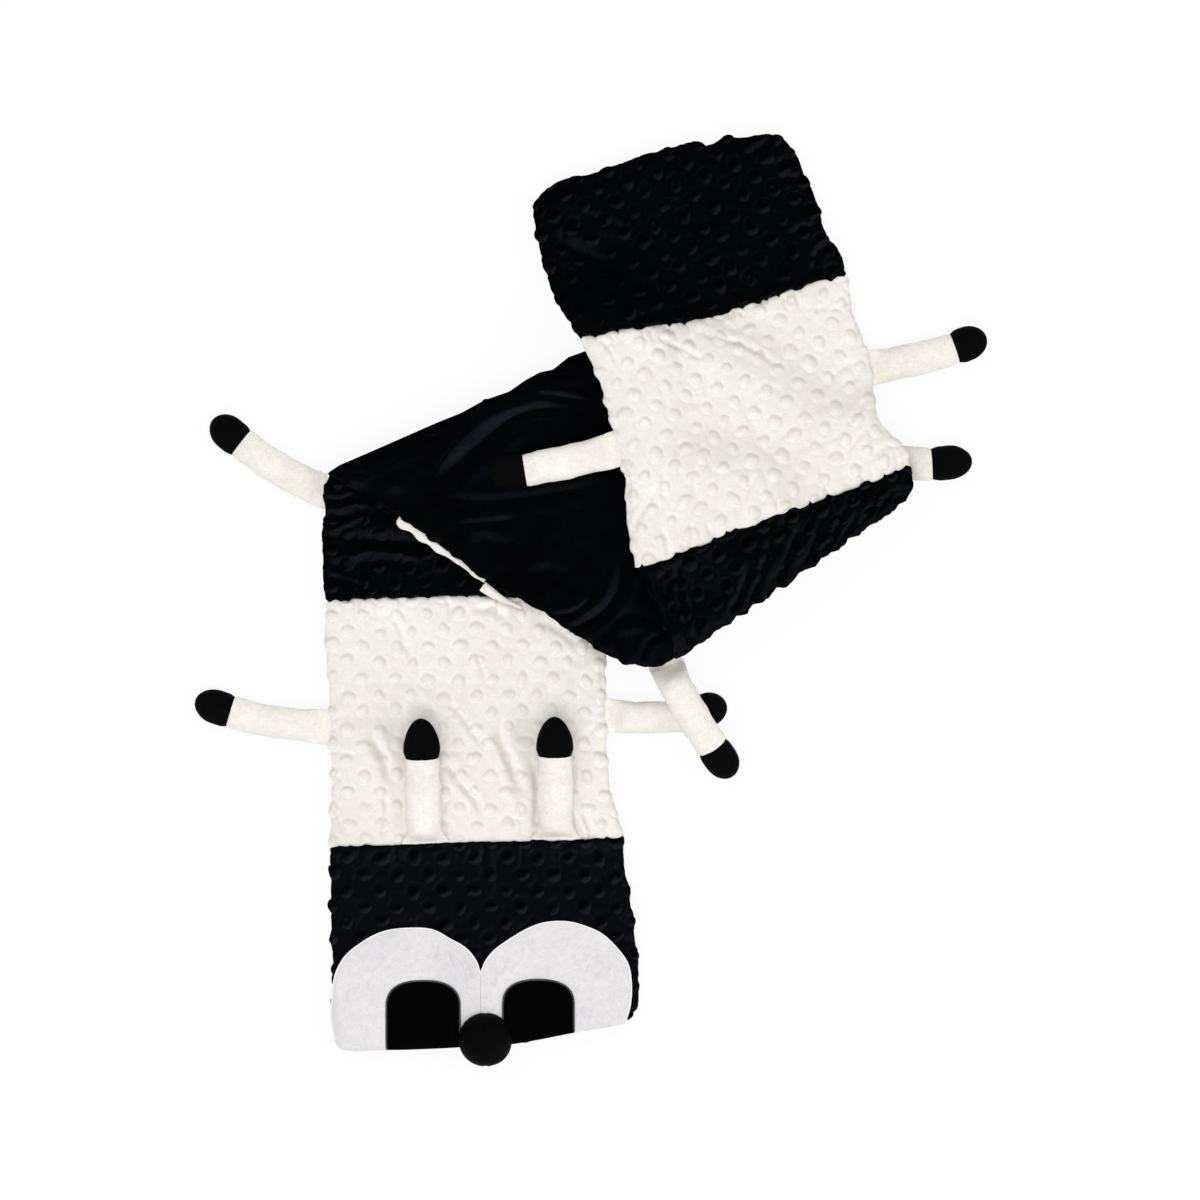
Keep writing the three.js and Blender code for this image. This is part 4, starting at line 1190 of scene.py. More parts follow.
def lowest_near(points, spots, reach=4.0):
    """Lowest height of points within about reach of each spot on the plan."""
    corner = points[..., :2].reshape(-1, 2).min(0) - 3 * reach
    cells = np.ceil((points[..., :2].reshape(-1, 2).max(0) + 3 * reach - corner) / reach).astype(int) + 1
    lowest = np.full(tuple(cells), FAR)
    at = ((points[..., :2].reshape(-1, 2) - corner) / reach).astype(int)
    np.minimum.at(lowest, (at[:, 0], at[:, 1]), points[..., 2].ravel())
    at = np.clip(((spots - corner) / reach).astype(int), 1, cells - 2)
    return np.minimum.reduce([lowest[at[..., 0] + i, at[..., 1] + j]
                              for i in (-1, 0, 1) for j in (-1, 0, 1)])


def sew_pouch(name, body, shape, top_cloth, under_cloth, folds):
    """The closed cotton pouch of pellets inside a band, kept clear of the cloth on both sides."""
    plan, high, edge_gap, seam_gap, fold_gap, _ = shape(POUCH_STEP, True, True)
    low = shape(POUCH_STEP, False, True)[1]
    inset = np.minimum(np.minimum(edge_gap, seam_gap), fold_gap)
    # The outline draws in from the seams and edges, and farthest from the rim of a fold
    toward = plan.reshape(-1, 2).mean(0) - plan
    size = np.maximum(1e-9, np.linalg.norm(toward, axis=-1, keepdims=True))
    draw_in = 7.0 * np.exp(-inset / 14) + 5.0 * np.exp(-(edge_gap + fold_gap) / 10)
    from_rim = sum(np.minimum(9.0 * np.exp(-nearest(plan, f["path"]) / 16), 0.3 * seam_gap)[..., None]
                   * np.array(f["out"]) for f in folds)
    plan = plan + toward / size * np.minimum(size, draw_in[..., None]) - from_rim
    # Its fill swells to this far under the panels, with the pellets as small lumps
    lumps = 0.4 * soft_noise(plan[..., 0] / 7, plan[..., 1] / 7, 77)
    half = np.maximum(0, (high - low) / 2 - POUCH_GAP + lumps) * smooth(inset / 12)
    clear = pad().cloth * 1000 + 0.9
    ceiling = lowest_near(top_cloth, plan) - clear
    base = clear - lowest_near(under_cloth * (1, 1, -1), plan)
    room = np.clip(half, 0.15, np.maximum(0.15, (ceiling - base) / 2))
    room[[0, -1]] = room[:, [0, -1]] = 0
    middle = (high + low) / 2
    if any(f["outer"] == "up" for f in folds):
        core = np.maximum(np.minimum(middle, ceiling - room),
                          np.minimum(base + room, (ceiling + base) / 2))
    else:
        core = np.minimum(np.maximum(middle, base + room), ceiling - room)
    top = np.concatenate((plan, (core + room)[..., None]), -1)
    bottom = np.concatenate((plan, (core - room)[..., None]), -1)
    piece = add_cloth(f"{name}_pouch_cloth", top, True)
    other = add_cloth(f"{name}_pouch_under", bottom, False)
    make_active(piece)
    other.select_set(True)
    bpy.ops.object.join()
    in_edit_mode(piece, lambda: bpy.ops.mesh.remove_doubles(threshold=0.000001),
                 lambda: bpy.ops.mesh.normals_make_consistent(inside=False))
    smooth_shade(piece, 60)
    finish_piece(piece, "pouch_cotton", body, f"{name}_pellet_pouch")


def folded_at(number, outer, onto=None, near=True, path=None):
    """A fold rim: its line, the way out of the pad, and which sheet wraps round it."""
    line, out = ((FOLD_1, FOLD_1_OUT), (FOLD_2, FOLD_2_OUT))[number - 1]
    return dict(number=number, line=line, out=tuple(out), outer=outer, height=24.25, onto=onto,
                near=near, path=smooth_line(path or line, 40))


def rim_out(line, inner_point):
    """Unit plan normal of a rim, away from the pad."""
    a, b = np.array(line, float)
    normal = unit(np.array((-(b - a)[1], (b - a)[0])))
    return normal if normal @ (np.array(inner_point) - a) < 0 else -normal


FOLD_1_OUT = rim_out(FOLD_1, (0, 0))
FOLD_2_OUT = rim_out(FOLD_2, (100, 100))
SPLIT_1 = tuple(along(FOLD_1, FOLD_1_SPLIT))

# What presses the dots and creases of a panel flat: its outline, the share of them that is left,
# where it starts and over what length, and whether the ground sinks instead of the dots
UNDER_EYES = [(EYE_LEFT + [(-106, -432)], 0.0, -3, 3, False),
              (EYE_RIGHT + [(-106, -430)], 0.0, -3, 3, False)]
UNDER_MIDDLE = [(MIDDLE_EDGE_1 + MIDDLE_EDGE_2 + MIDDLE_EDGE_3 + [FOLD_2[1], FOLD_1[1]], 0.15, 4, 9,
                 True)]
TURNED_EDGE = [([(30, 40), (62, 34), (92, -50), (84, -70), (60, -70)], 0.25, -2, 7, False)]


class INCHWORM_OT_lay_front_run(bpy.types.Operator):
    """Lays the head, the first white band and the part of the black band before the first fold"""

    bl_idname = "inchworm.lay_front_run"
    bl_label = "Lay the front run"

    def execute(self, context):
        nose, neck, waist = smooth_line(NOSE), smooth_line(NECK), smooth_line(WAIST)
        left, right = smooth_line(HEAD_LEFT), smooth_line(HEAD_RIGHT)
        lay_band("head", "front", "head", nose, neck, left, right, length=196, width=290,
                 edges=(nose, left, right), seams=(neck,), skin="dotted_plush_head", seed=20,
                 covers=UNDER_EYES)
        left, right = smooth_line(WHITE_1_LEFT), smooth_line(WHITE_1_RIGHT)
        lay_band("white_1", "front", "front_run", neck, waist, left, right, length=237, width=278,
                 edges=(left, right), seams=(neck, waist), seed=20, covers=UNDER_MIDDLE)
        rim_right = (5, SPLIT_1[1])
        rim = kinked((FOLD_1[0], SPLIT_1, rim_right), 0.56)
        left = smooth_line(BLACK_2_LEFT)
        right = smooth_line([(18.6, 0), (19, 70), (17, 120), rim_right])
        fold = folded_at(1, "down", path=(FOLD_1[0], SPLIT_1))
        lay_band("black_2_lower", "front", "front_run", waist, rim, left, right, length=165, width=277,
                 edges=(left, right), seams=(waist, smooth_line((SPLIT_1, rim_right))), folds=(fold,),
                 skin="dotted_plush_black", seed=20, covers=UNDER_MIDDLE)
        low = smooth_line(((SPLIT_1[0] + 2.5, SPLIT_1[1] + 0.6), (5, SPLIT_1[1] + 0.6)))
        start, finish = along(FOLD_1, (FOLD_1_SPLIT + 0.012, 0.885))
        high = smooth_line((start, finish))
        left, right = smooth_line((low[0], high[0])), smooth_line((low[-1], high[-1]))
        fold = folded_at(1, "down", path=(start, finish))
        lay_band("white_2_lower", "front", "front_run", low, high, left, right, length=50, width=100,
                 edges=(right,), seams=(low,), folds=(fold,), seed=20, covers=UNDER_MIDDLE)
        return {"FINISHED"}


class INCHWORM_OT_lay_middle_run(bpy.types.Operator):
    """Lays the bands between the folds, back side up"""

    bl_idname = "inchworm.lay_middle_run"
    bl_label = "Lay the middle run"

    def execute(self, context):
        settle("middle")
        fold = folded_at(1, "up", path=(FOLD_1[0], SPLIT_1))
        rim = smooth_line((FOLD_1[0], along(FOLD_1, FOLD_1_SPLIT - 0.004)))
        seam = smooth_line((MIDDLE_EDGE_2[0], SPLIT_1))
        top = smooth_line((MIDDLE_EDGE_2[0], along(seam, 0.992)))
        left = smooth_line(MIDDLE_EDGE_1)
        lay_band("black_2_upper", "middle", "middle_run", rim, top, left,
                 smooth_line((rim[-1], top[-1])), length=75, width=150, edges=(left,), seams=(seam,),
                 folds=(fold,), skin="dotted_plush_black", seed=50)
        low = kinked((MIDDLE_EDGE_2[0], SPLIT_1, FOLD_1[1]), 0.5)
        belly = smooth_line(BELLY)
        left, right = smooth_line(MIDDLE_EDGE_2), smooth_line((FOLD_1[1], BELLY[1]))
        fold = folded_at(1, "up", path=(SPLIT_1, FOLD_1[1]))
        lay_band("white_2_upper", "middle", "middle_run", low, belly, left, right, length=165, width=290,
                 edges=(left, right), seams=(seam, belly), folds=(fold,), seed=50)
        rim = smooth_line(FOLD_2)
        left, right = smooth_line(MIDDLE_EDGE_3), smooth_line((BELLY[1], FOLD_2[1]))
        fold = folded_at(2, "down", onto="rear", near=False)
        lay_band("black_3_upper", "middle", "middle_run", belly, rim, left, right, length=160, width=280,
                 edges=(left, right), seams=(belly,), folds=(fold,), skin="dotted_plush_black", seed=50)
        return {"FINISHED"}


class INCHWORM_OT_lay_rear_run(bpy.types.Operator):
    """Lays the bands after the second fold, front side up, and the tail"""

    bl_idname = "inchworm.lay_rear_run"
    bl_label = "Lay the rear run"

    def execute(self, context):
        settle("rear")
        rim, hip, rump = smooth_line(FOLD_2), smooth_line(HIP), smooth_line(RUMP)
        left, right = smooth_line(BLACK_3_LEFT), smooth_line(BLACK_3_RIGHT)
        fold = folded_at(2, "up", onto="rear", near=True)
        lay_band("black_3_lower", "rear", "rear_run", rim, hip, left, right, length=80, width=278,
                 edges=(left, right), seams=(hip,), folds=(fold,), skin="dotted_plush_black", seed=80,
                 covers=TURNED_EDGE)
        left, right = smooth_line(WHITE_3_LEFT), smooth_line(WHITE_3_RIGHT)
        lay_band("white_3", "rear", "rear_run", hip, rump, left, right, length=205, width=280,
                 edges=(left, right), seams=(hip, rump), seed=80)
        left, right, end = smooth_line(TAIL_LEFT), smooth_line(TAIL_RIGHT), smooth_line(TAIL_END)
        lay_band("tail", "rear", "rear_run", rump, end, left, right, length=155, width=268,
                 edges=(left, right, end), seams=(rump,), skin="dotted_plush_black", seed=80)
        return {"FINISHED"}


def edge_strip(name, line, across, height, skin, body, lap=0.0):
    """A narrow strip of cloth along a line: across and height give its half width and its top, and it
    reaches twice the lap farther on its inner side."""
    line = even(line, len(across))
    turn = np.linspace(0, 2 * math.pi, 25)
    reach = np.cos(turn) * (across[:, None] + lap) + lap
    plan = line[:, None] + sideways(line)[:, None] * reach[..., None]
    flat = np.sign(np.sin(turn)) * np.abs(np.sin(turn)) ** 0.7
    z = height[:, None] + flat * np.minimum(3.4, across)[:, None]
    piece = add_tube(name, np.concatenate((plan, z[..., None]), -1))
    finish_piece(piece, skin, body)


class INCHWORM_OT_roll_white_edge(bpy.types.Operator):
    """Rolls a narrow edge of the white front out from under the middle run, with its smooth hem"""

    bl_idname = "inchworm.roll_white_edge"
    bl_label = "Roll out the white edge"

    def execute(self, context):
        line = smooth_line([(-186, 75), (-168, 62.5), (-148, 48.5), (-128, 34), (-112, 22), (-102, 15)],
                           120)
        k = np.linspace(0, 1, 120)
        wave = 1.1 * np.sin(k * 30) + 1.0 * soft_noise(k * 9, k * 0 + 3, 5)
        ragged = np.clip((3.6 + 1.2 * wave) * (1 - 0.66 * smooth((k - 0.3) / 0.5)), 0.9, 9)
        rounded_start = np.sqrt(np.clip(1 - (1 - k / 0.03) ** 2 * (k < 0.03), 0.05, 1))
        height = support("middle", line) + 9.5
        edge_strip("white_2_rolled_edge", line, ragged * rounded_start, height, "dotted_plush_white",
                   "middle_run", lap=1.8)
        line = smooth_line([(-103.5, 11), (-93, 3.5), (-81, -3.5), (-66, -10)], 80)
        k = np.linspace(0, 1, 80)
        across = 5.2 * (1 - 0.72 * smooth(k * 1.05))
        height = support("middle", line) + 7.5
        edge_strip("white_2_hem", line, across, height, "cream_plush", "middle_run")
        return {"FINISHED"}


# ---- Legs and feelers


# Width at the seam, as a share of the full width
LEG_ROOT_WIDE = 1.05
FEELER_ROOT_WIDE = 1.28


def stuffed_limb(name, line, out, width, height, share, root_wide, body, root_body, tip_word):
    """A stuffed sleeve sewn flat into a seam, with a plain foot or tip sewn on its end. line gives
    its centre line at shares of its length, out the way that it leaves the seam, and share how
    much of it is sleeve."""
    sleeve_k = np.concatenate(((-0.03, -0.015), np.linspace(0, 0.1, 9)[:-1],
                               np.linspace(0.1, share, 34)))
    foot_k = np.concatenate((np.linspace(share, 0.9, 12)[:-1],
                             0.9 + 0.098 * np.sin(np.linspace(0, math.pi / 2, 14))))
    length = np.linalg.norm(np.diff(line(np.linspace(0, 1, 61)), axis=0), axis=1).sum()
    turn = np.arange(37) / 36 * 2 * math.pi
    c, s = np.cos(turn), np.sin(turn)
    seed = sum(map(ord, name)) % 500
    for word, ks, finish in (("sleeve", sleeve_k, "cream_plush"), (tip_word, foot_k, "matt_black_plush")):
        if out is None:
            ks = ks[ks >= 0]
        on = np.clip(ks, 0, 1)
        path = line(on)
        ahead = unit(line(np.clip(on + 0.02, 0, 1)) - line(np.clip(on - 0.02, 0, 1)))
        if out is not None:
            path[:, :2] += np.array(out)[None] * (np.minimum(ks, 0) * length)[:, None]
            square = np.clip(1 - ks / 0.12, 0, 1)[:, None]
            ahead = unit(ahead * (1 - square) + np.append(out, 0)[None] * square)
        across = unit(np.cross((0, 0, 1), ahead))
        lift = np.cross(ahead, across)
        # Flat and wide at the seam, full beyond it, and a little fuller past the foot's seam
        flat = smooth(1 - ks / 0.20)
        fuller = 0.06 * smooth((ks - share) / 0.06) * (ks > share)
        wide = width / 2 * (0.95 + fuller + (root_wide - 0.95) * smooth(1 - ks / 0.17))
        high = height / 2 * (0.94 + fuller) * (1 - flat) + 1.3 * flat
        if word != "sleeve":
            start, bow = (0.77, 1.75) if word == "tip" else (0.83, 2.0)
            cap = np.sqrt(np.clip(1 - (np.clip(ks - start, 0, 1) / (0.998 - start)) ** bow, 0, 1))
            wide, high = wide * cap, high * cap
        pinch = 0.9 * np.exp(-(np.abs(ks - share) * length / 2.2) ** 2)
        wide, high = np.maximum(0.15, wide - pinch), np.maximum(0.15, high - pinch)
        # Soft folds along it, and gathers at its root
        far = ks[:, None] * length
        folds = (0.75 * soft_noise(far / 11 + 0.6 * c, c * 1.1 + 3, seed)
                 + 0.5 * soft_noise(far / 30, s + 2, seed + 1))
        folds = folds * (0.35 + 0.65 * (word == "sleeve")) * smooth(ks / 0.1)[:, None]
        gathered = pleats(far / 7 + 0.7 * c, 1.3 * s, seed + 2)
        folds = folds + 0.8 * gathered * np.exp(-far / 17) * smooth(ks / 0.03)[:, None]
        folds = folds * smooth((1 - ks) / 0.06)[:, None]
        if word == "tip":
            folds = folds - 1.5 * np.exp(-(c * wide[:, None] / 1.1) ** 2) * (s > 0)
        points = (path[:, None] + across[:, None] * (c * (wide[:, None] + folds))[..., None]
                  + lift[:, None] * (s * (high[:, None] + folds * 0.8))[..., None])
        points[..., 2] = np.maximum(points[..., 2], FLOOR_GAP)
        piece = add_tube(f"{name}_{word}_plush", points)
        start, end = line(np.array((0.0, 0.14)))
        bend = (root_body, row_point(start, start[2]), row_point(end, end[2]))
        finish_piece(piece, finish, body, f"{name}_{word}",
                     bend=bend if word == "sleeve" else None)


class INCHWORM_OT_sew_legs(bpy.types.Operator):
    """Sews the eight stuffed legs into the side seams"""

    bl_idname = "inchworm.sew_legs"
    bl_label = "Sew the legs"

    def execute(self, context):
        sizes = limb_sizes()
        bodies = {"front": "front_run", "middle": "middle_run", "rear": "rear_run"}
        for name, leg in LEGS.items():
            _, _, out = leg_root(name)
            stuffed_limb(f"leg_{name}", lambda ks, name=name: leg_line(name, ks), out,
                         sizes.leg_width * 1000, sizes.leg_height * 1000, sizes.sleeve_part,
                         LEG_ROOT_WIDE, f"leg_{name}", bodies[leg["run"]], "foot")
        return {"FINISHED"}


# Each feeler: how far its tip leans over, and its reach as a share of the curve below
FEELERS = {"left": (-5.5, 1.0), "right": (-1.0, 0.98)}
FEELER_OUT = (0, 11, 30, 57, 88, 121)
FEELER_UP = (24.0, 31, 37.5, 43.5, 49.5, 55)


def feeler_line(side, ks):
    """Centre line of a feeler as plan points and heights, at shares of its length."""
    root = np.array(JOINTS[f"feeler_{side}_lift"]["pos_m"]) * 1000
    x, y = root[:2] - PLAN_SHIFT
    spline_k = np.linspace(0, 1, 6)
    curve = lambda values: np.interp(ks, np.linspace(0, 1, 41),
                                     smooth_line(np.stack((spline_k * 100, values), 1), 41)[:, 1])
    lean, reach = FEELERS[side]
    return np.stack((x + lean * (0.35 + 0.65 * ks), y + reach * curve(FEELER_OUT), curve(FEELER_UP)), 1)


class INCHWORM_OT_sew_feelers(bpy.types.Operator):
    """Sews the two feelers into the neck seam, lying back with raised tips"""

    bl_idname = "inchworm.sew_feelers"
    bl_label = "Sew the feelers"

    def execute(self, context):
        sizes = limb_sizes()
        for side in FEELERS:
            stuffed_limb(f"feeler_{side}", lambda ks, side=side: feeler_line(side, ks), None,
                         sizes.feeler_width * 1000, sizes.feeler_height * 1000, sizes.sleeve_part,
                         FEELER_ROOT_WIDE, f"feeler_{side}", "front_run", "tip")
        return {"FINISHED"}


# ---- Face


def head_height(points):
    """Height of the head's upper surface at plan points, without its dots."""
    thick = pad().thick * 1000
    edge = np.ones(points.shape[:-1])
    for border in (NOSE, HEAD_LEFT, HEAD_RIGHT):
        edge = edge * rounded(nearest(points, smooth_line(border)), pad().edge_run * 1000)
    u, v = on_strip(points, "front")
    return thick / 2 + thick / 2 * edge + pad_lumps(u, v, 20)


def nose_edge(x):
    """Where the nose seam lies, at places across the head."""
    line = smooth_line(NOSE)
    return np.interp(x, line[:, 0], line[:, 1])


# Slight puckers of the velvet beside the pupils: line on the plan, depth, half width
EYE_CREASES = [
    ([(-147, -330), (-150, -342), (-156, -352)], 1.0, 2.4),
    ([(-138, -336), (-136, -350), (-130, -362)], 1.1, 2.2),
    ([(-126, -343), (-119, -358), (-114, -374)], 1.2, 2.2),
    ([(-198, -342), (-205, -352), (-214, -358)], 0.9, 2.6),
    ([(-222, -370), (-214, -380), (-211, -394)], 0.9, 2.6),
    ([(-234, -400), (-226, -412), (-214, -420)], 0.9, 2.6),
    ([(-240, -380), (-232, -392)], 0.7, 2.4),
    ([(-176, -330), (-180, -344)], 0.8, 2.4),
    ([(-94, -352), (-92, -366), (-95, -380)], 1.1, 2.0),
    ([(-80, -344), (-84, -356), (-90, -366)], 1.0, 2.2),
    ([(-62, -330), (-60, -344), (-64, -354)], 0.8, 2.6),
    ([(-26, -322), (-22, -338), (-12, -350)], 0.9, 2.8),
    ([(14, -352), (6, -362), (-4, -368)], 0.9, 2.6),
    ([(26, -380), (14, -386), (2, -388)], 0.8, 2.6),
    ([(24, -404), (10, -404), (-4, -410)], 0.9, 2.4),
]
# Eyes and pupils end this far up from the nose seam
FOOT_GAP = 1.5
# How high velvet and stitching lie over the head's cloth
EYE_RISE = 1.4
EYE_STITCH_RISE = 2.6
PUPIL_RISE = 3.1
PUPIL_STITCH_RISE = 3.9
# Thickness of the velvets, in metres
EYE_CLOTH = 0.0014
PUPIL_CLOTH = 0.0012
# Stitches: the ridge of a stitch, from stitch to stitch, and between the points along them
STITCH_HEIGHT = 0.9
STITCH_GAP = 1.05
STITCH_STEP = 0.55


def patch_foot(x):
    """Lower border of a patch on the face, at places across the head."""
    return np.stack((x, nose_edge(x) + FOOT_GAP), 1)


def eye_patch(name, upper, node):
    """Velvet sewn flat on the head: rows run from its foot on the nose seam up to its outline."""
    upper = smooth_line(upper, 160)
    if upper[0, 0] > upper[-1, 0]:
        upper = upper[::-1]
    x0, x1 = upper[0, 0] + 2.5 * (upper[0, 0] < -200), upper[-1, 0] - 1.5 * (upper[-1, 0] > 0)
    foot = patch_foot(x0 + (x1 - x0) * np.linspace(0, 1, len(upper)))
    rows = np.concatenate((np.linspace(0, 0.06, 5)[:-1], np.linspace(0.06, 0.97, 60), (0.985, 1.0)))
    points = foot[None] * (1 - rows[:, None, None]) + upper[None] * rows[:, None, None]
    edge_gap = nearest(points, upper)
    height = head_height(points) + EYE_RISE
    lumps = 0.8 * soft_noise(points[..., 0] / 17, points[..., 1] / 30, 31)
    height = height + lumps * smooth(edge_gap / 10)
    height = height + 2.0 * creased(points, [(a, b, 1.35 * c) for a, b, c in EYE_CREASES])
    height = height - 0.9 * np.exp(-(edge_gap / 2.2) ** 2)
    piece = add_cloth(name, np.concatenate((points, height[..., None]), -1), True)
    modify(piece, "SOLIDIFY", thickness=EYE_CLOTH, offset=1)
    smooth_shade(piece)
    finish_piece(piece, "eye_velvet", "head", node)
    return upper


def satin_edge(name, line, offset, finish, width=1.4):
    """A dense zigzag of thread over a cut edge, each stitch a fine ridge across it."""
    length = np.linalg.norm(np.diff(line, axis=0), axis=1).sum()
    count = int(length / STITCH_STEP)
    line = even(line, count)
    base = head_height(line) + offset
    turn = np.linspace(0, 2 * math.pi, 9)
    ridge = 0.5 + 0.5 * np.cos(np.arange(count) * 2 * math.pi / (STITCH_GAP / STITCH_STEP))
    wide = width / 2 * (0.9 + 0.1 * ridge)
    high = STITCH_HEIGHT / 2 * (0.72 + 0.28 * ridge)
    plan = line[:, None] + sideways(line)[:, None] * (np.cos(turn) * wide[:, None])[..., None]
    z = base[:, None] + np.sin(turn) * high[:, None]
    piece = add_tube(name, np.concatenate((plan, z[..., None]), -1))
    finish_piece(piece, finish, "head")


def arch(left, right, foot, top, square):
    """Rounded top of a pupil, from its left foot over to its right foot."""
    turn = np.linspace(math.pi, 0, 40)
    middle, half = (left + right) / 2, (right - left) / 2
    spring = top - half * square
    x = middle + np.sign(np.cos(turn)) * np.abs(np.cos(turn)) ** 0.8 * half
    y = spring + np.sin(turn) ** 0.8 * (top - spring)
    feet = [np.stack((np.full(12, side), np.linspace(foot(side), spring, 13)[:-1]), 1)
            for side in (left, right)]
    return np.vstack((feet[0], np.stack((x, y), 1), feet[1][::-1]))


class INCHWORM_OT_sew_eyes(bpy.types.Operator):
    """Sews the velvet eyes and pupils on the head with satin stitched edges"""

    bl_idname = "inchworm.sew_eyes"
    bl_label = "Sew the eyes"

    def execute(self, context):
        eyes = {"left": EYE_LEFT, "right": EYE_RIGHT}
        pupils = {"left": (-196.5, -125.5, -370), "right": (-84, -15.5, -369)}
        for side, outline in eyes.items():
            edge = eye_patch(f"eye_{side}_velvet", outline, f"eye_{side}")
            satin_edge(f"eye_{side}_stitching", edge, EYE_STITCH_RISE, "eye_thread")
            self.pupil(side, *pupils[side])
        return {"FINISHED"}

    def pupil(self, side, left, right, top):
        line = even(arch(left, right, lambda x: float(nose_edge(x)) + FOOT_GAP, top, 0.72), 120)
        foot = patch_foot(np.linspace(left, right, 120))
        rows = np.concatenate((np.linspace(0, 0.94, 40), (0.97, 1.0)))
        points = foot[None] * (1 - rows[:, None, None]) + line[None] * rows[:, None, None]
        gap = nearest(points, line)
        height = (head_height(points) + PUPIL_RISE
                  + 0.5 * soft_noise(points[..., 0] / 15, points[..., 1] / 21, 43))
        height = height - 0.8 * np.exp(-(gap / 2.0) ** 2) - 0.5 * np.exp(-((gap - 4) / 0.9) ** 2)
        piece = add_cloth(f"pupil_{side}_velvet", np.concatenate((points, height[..., None]), -1), True)
        modify(piece, "SOLIDIFY", thickness=PUPIL_CLOTH, offset=1)
        smooth_shade(piece)
        finish_piece(piece, "pupil_velvet", "head", f"pupil_{side}")
        satin_edge(f"pupil_{side}_stitching", line, PUPIL_STITCH_RISE, "black_thread",
                   width=1.8)


# Middle of the nose ball on the plan
NOSE_SPOT = (-101.0, -426.8)


class INCHWORM_OT_sew_nose(bpy.types.Operator):
    """Sews the stuffed ball on the front seam"""

    bl_idname = "inchworm.sew_nose"
    bl_label = "Sew the nose"

    def execute(self, context):
        radius = limb_sizes().nose_width * 500
        centre = np.array((*NOSE_SPOT, radius + 0.4))
        deselect()
        bpy.ops.mesh.primitive_uv_sphere_add(segments=64, ring_count=40, radius=radius * 0.001)
        piece = bpy.context.object
        piece.name = piece.data.name = "nose_ball_plush"
        flat = np.zeros(len(piece.data.vertices) * 3)
        piece.data.vertices.foreach_get("co", flat)
        points = flat.reshape(-1, 3) * 1000
        way = unit(points)
        swell = 0.5 * soft_noise(way[:, 0] * 1.6 + 5, way[:, 1] * 1.6 + way[:, 2], 9)
        seam = -0.7 * np.exp(-(way[:, 0] * radius / 1.2) ** 2)
        points = way * (radius + swell + seam - 0.35)[:, None] + centre
        bpy.context.view_layer.update()
        place_points(piece, points)
        smooth_shade(piece, 60)
        finish_piece(piece, "matt_black_plush", "head", "nose")
        return {"FINISHED"}


# ---- Stage


# Lamps, in metres and watts: place, size, power
LAMPS = {
    "key_lamp": ((-0.3, -1.5, 3.8), 2.2, 56),
    "side_lamp": ((2.9, -0.6, 2.7), 1.8, 26),
    "back_lamp": ((-1.6, 2.2, 3.0), 2.4, 20),
}
# What the camera sees of the floor: its width and its middle, in metres
VIEW_WIDTH = 1.164
VIEW_CENTRE = (0.00602, -0.00024)


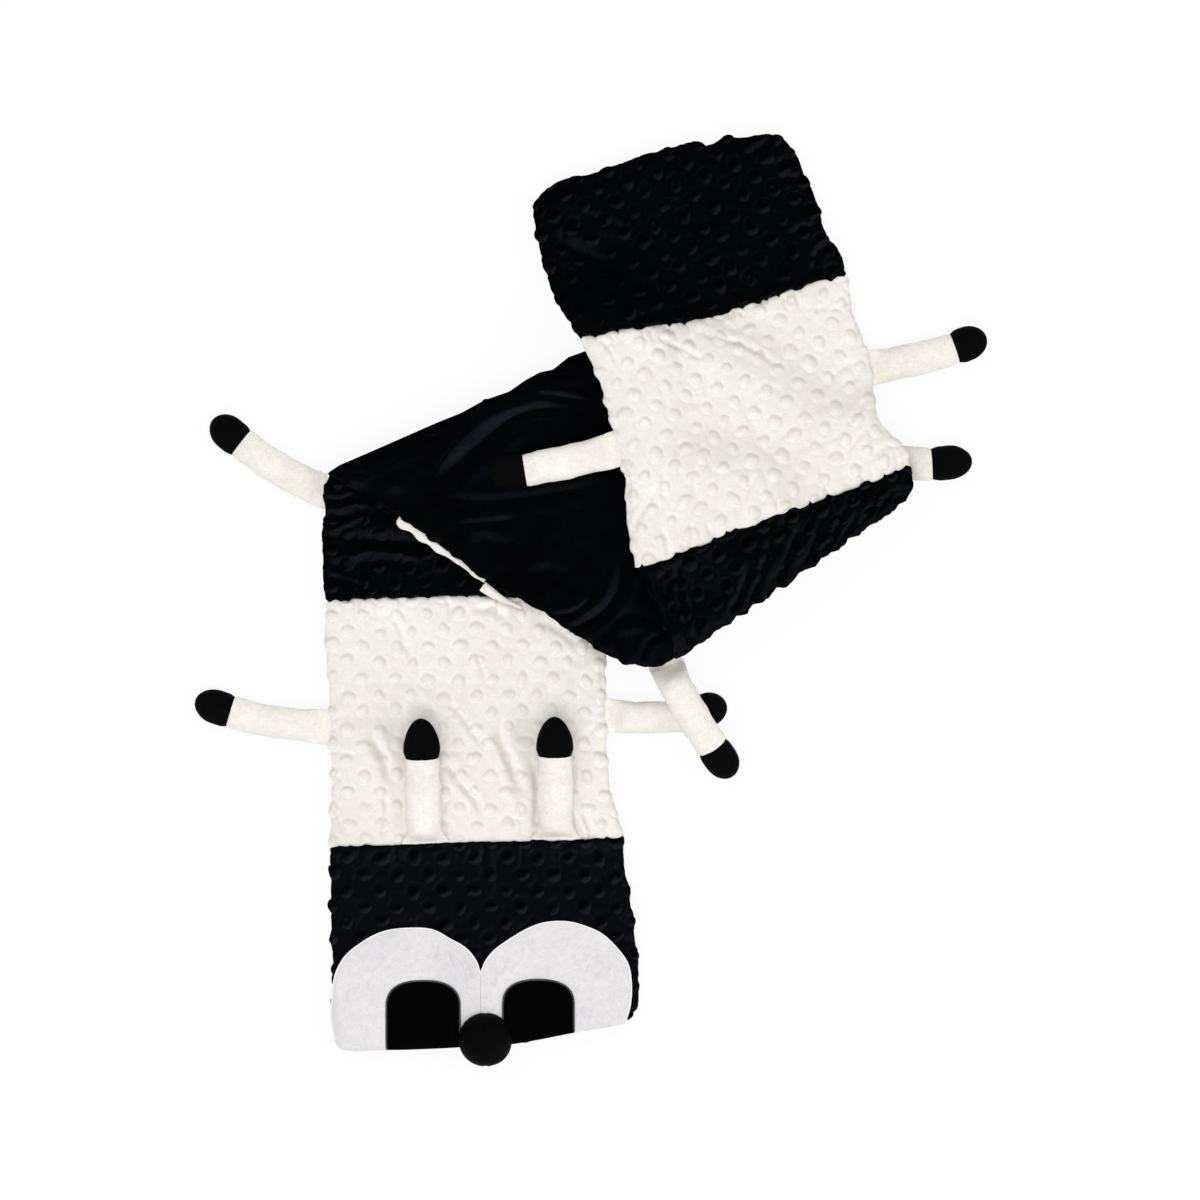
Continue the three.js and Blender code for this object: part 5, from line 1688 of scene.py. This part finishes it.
class INCHWORM_OT_set_stage(bpy.types.Operator):
    """Sets the floor, the soft lamps and the camera straight above"""

    bl_idname = "inchworm.set_stage"
    bl_label = "Set the stage"

    def execute(self, context):
        scene = context.scene
        deselect()
        bpy.ops.mesh.primitive_plane_add(size=40)
        floor = context.object
        floor.name = "floor"
        floor.location.z = CAD_BOX[0][2] - 0.0003
        bpy.ops.object.transform_apply(location=True)
        floor.data.materials.append(self.floor_finish())
        for name, lamp in LAMPS.items():
            self.lamp(name, *lamp)
        scene.world = self.studio()
        camera = bpy.data.cameras.new("camera")
        holder = bpy.data.objects.new("camera", camera)
        scene.collection.objects.link(holder)
        camera.lens = 170
        camera.sensor_width = 36
        holder.location = (*VIEW_CENTRE, camera.lens / camera.sensor_width * VIEW_WIDTH)
        camera.clip_end = 60
        scene.camera = holder
        scene.view_settings.view_transform = "Standard"
        return {"FINISHED"}

    def lamp(self, name, place, size, power):
        lamp = bpy.data.lights.new(name, "AREA")
        lamp.energy = power
        lamp.size = size
        holder = bpy.data.objects.new(name, lamp)
        bpy.context.scene.collection.objects.link(holder)
        holder.location = place
        holder.rotation_euler = (-Vector(place)).to_track_quat("-Z", "Y").to_euler()

    def studio(self):
        """Soft light from all round, and plain white for the camera."""
        world = bpy.data.worlds.new("studio")
        world.use_nodes = True
        world.node_tree.nodes.clear()
        rays = add_node(world, "ShaderNodeLightPath")
        seen = add_node(world, "ShaderNodeMath", {0: rays.outputs["Is Camera Ray"],
                                                  1: rays.outputs["Is Glossy Ray"]}, operation="MAXIMUM")
        seen = add_node(world, "ShaderNodeMath", {0: seen.outputs[0],
                                                  1: rays.outputs["Is Transmission Ray"]},
                        operation="MAXIMUM")
        soft = add_node(world, "ShaderNodeBackground", {"Color": (1, 1, 1, 1), "Strength": 0.6})
        white = add_node(world, "ShaderNodeBackground", {"Color": (1, 1, 1, 1), "Strength": 1.0})
        mix = add_node(world, "ShaderNodeMixShader", {0: seen.outputs[0], 1: soft.outputs[0],
                                                      2: white.outputs[0]})
        add_node(world, "ShaderNodeOutputWorld", {"Surface": mix.outputs[0]})
        return world

    def floor_finish(self):
        """White paper: seen as plain white, with the object's soft shadow kept on it."""
        material = bpy.data.materials.new("white_paper")
        material.use_nodes = True
        material.node_tree.nodes.clear()
        rays = add_node(material, "ShaderNodeLightPath")
        seen = add_node(material, "ShaderNodeMath", {0: rays.outputs["Is Camera Ray"],
                                                     1: rays.outputs["Is Glossy Ray"]}, operation="MAXIMUM")
        part = add_node(material, "ShaderNodeMath", {0: seen.outputs[0], 1: 0.9}, operation="MULTIPLY")
        paper = add_node(material, "ShaderNodeBsdfDiffuse", {"Color": (1, 1, 1, 1)})
        glow = add_node(material, "ShaderNodeEmission", {"Color": (1, 1, 1, 1), "Strength": 1.0})
        mix = add_node(material, "ShaderNodeMixShader", {0: part.outputs[0], 1: paper.outputs[0],
                                                         2: glow.outputs[0]})
        add_node(material, "ShaderNodeOutputMaterial", {"Surface": mix.outputs[0]})
        return material


# ---- Panel and run


STEPS = ("dye_cloth", "lay_front_run", "lay_middle_run", "roll_white_edge", "lay_rear_run", "sew_legs",
         "sew_feelers", "sew_eyes", "sew_nose", "set_stage")


class INCHWORM_PT_sewing(bpy.types.Panel):
    """Sizes, colours and the steps of the sewing"""

    bl_label = "Plush Inchworm"
    bl_space_type = "VIEW_3D"
    bl_region_type = "UI"
    bl_category = "Inchworm"

    def draw(self, context):
        for group in (context.scene.inchworm_pad, context.scene.inchworm_limbs,
                      context.scene.inchworm_colours):
            box = self.layout.box()
            for key in group.__annotations__:
                box.prop(group, key)
        for step in STEPS:
            self.layout.operator(f"inchworm.{step}")


CLASSES = (PadSizes, LimbSizes, PlushColours, INCHWORM_OT_dye_cloth, INCHWORM_OT_lay_front_run,
           INCHWORM_OT_lay_middle_run, INCHWORM_OT_roll_white_edge, INCHWORM_OT_lay_rear_run,
           INCHWORM_OT_sew_legs, INCHWORM_OT_sew_feelers, INCHWORM_OT_sew_eyes, INCHWORM_OT_sew_nose,
           INCHWORM_OT_set_stage, INCHWORM_PT_sewing)


def register():
    for cls in CLASSES:
        bpy.utils.register_class(cls)
    bpy.types.Scene.inchworm_pad = bpy.props.PointerProperty(type=PadSizes)
    bpy.types.Scene.inchworm_limbs = bpy.props.PointerProperty(type=LimbSizes)
    bpy.types.Scene.inchworm_colours = bpy.props.PointerProperty(type=PlushColours)


def unregister():
    for name in ("inchworm_colours", "inchworm_limbs", "inchworm_pad"):
        delattr(bpy.types.Scene, name)
    for cls in reversed(CLASSES):
        bpy.utils.unregister_class(cls)


def main():
    register()
    for step in STEPS:
        getattr(bpy.ops.inchworm, step)()


if __name__ == "__main__":
    main()
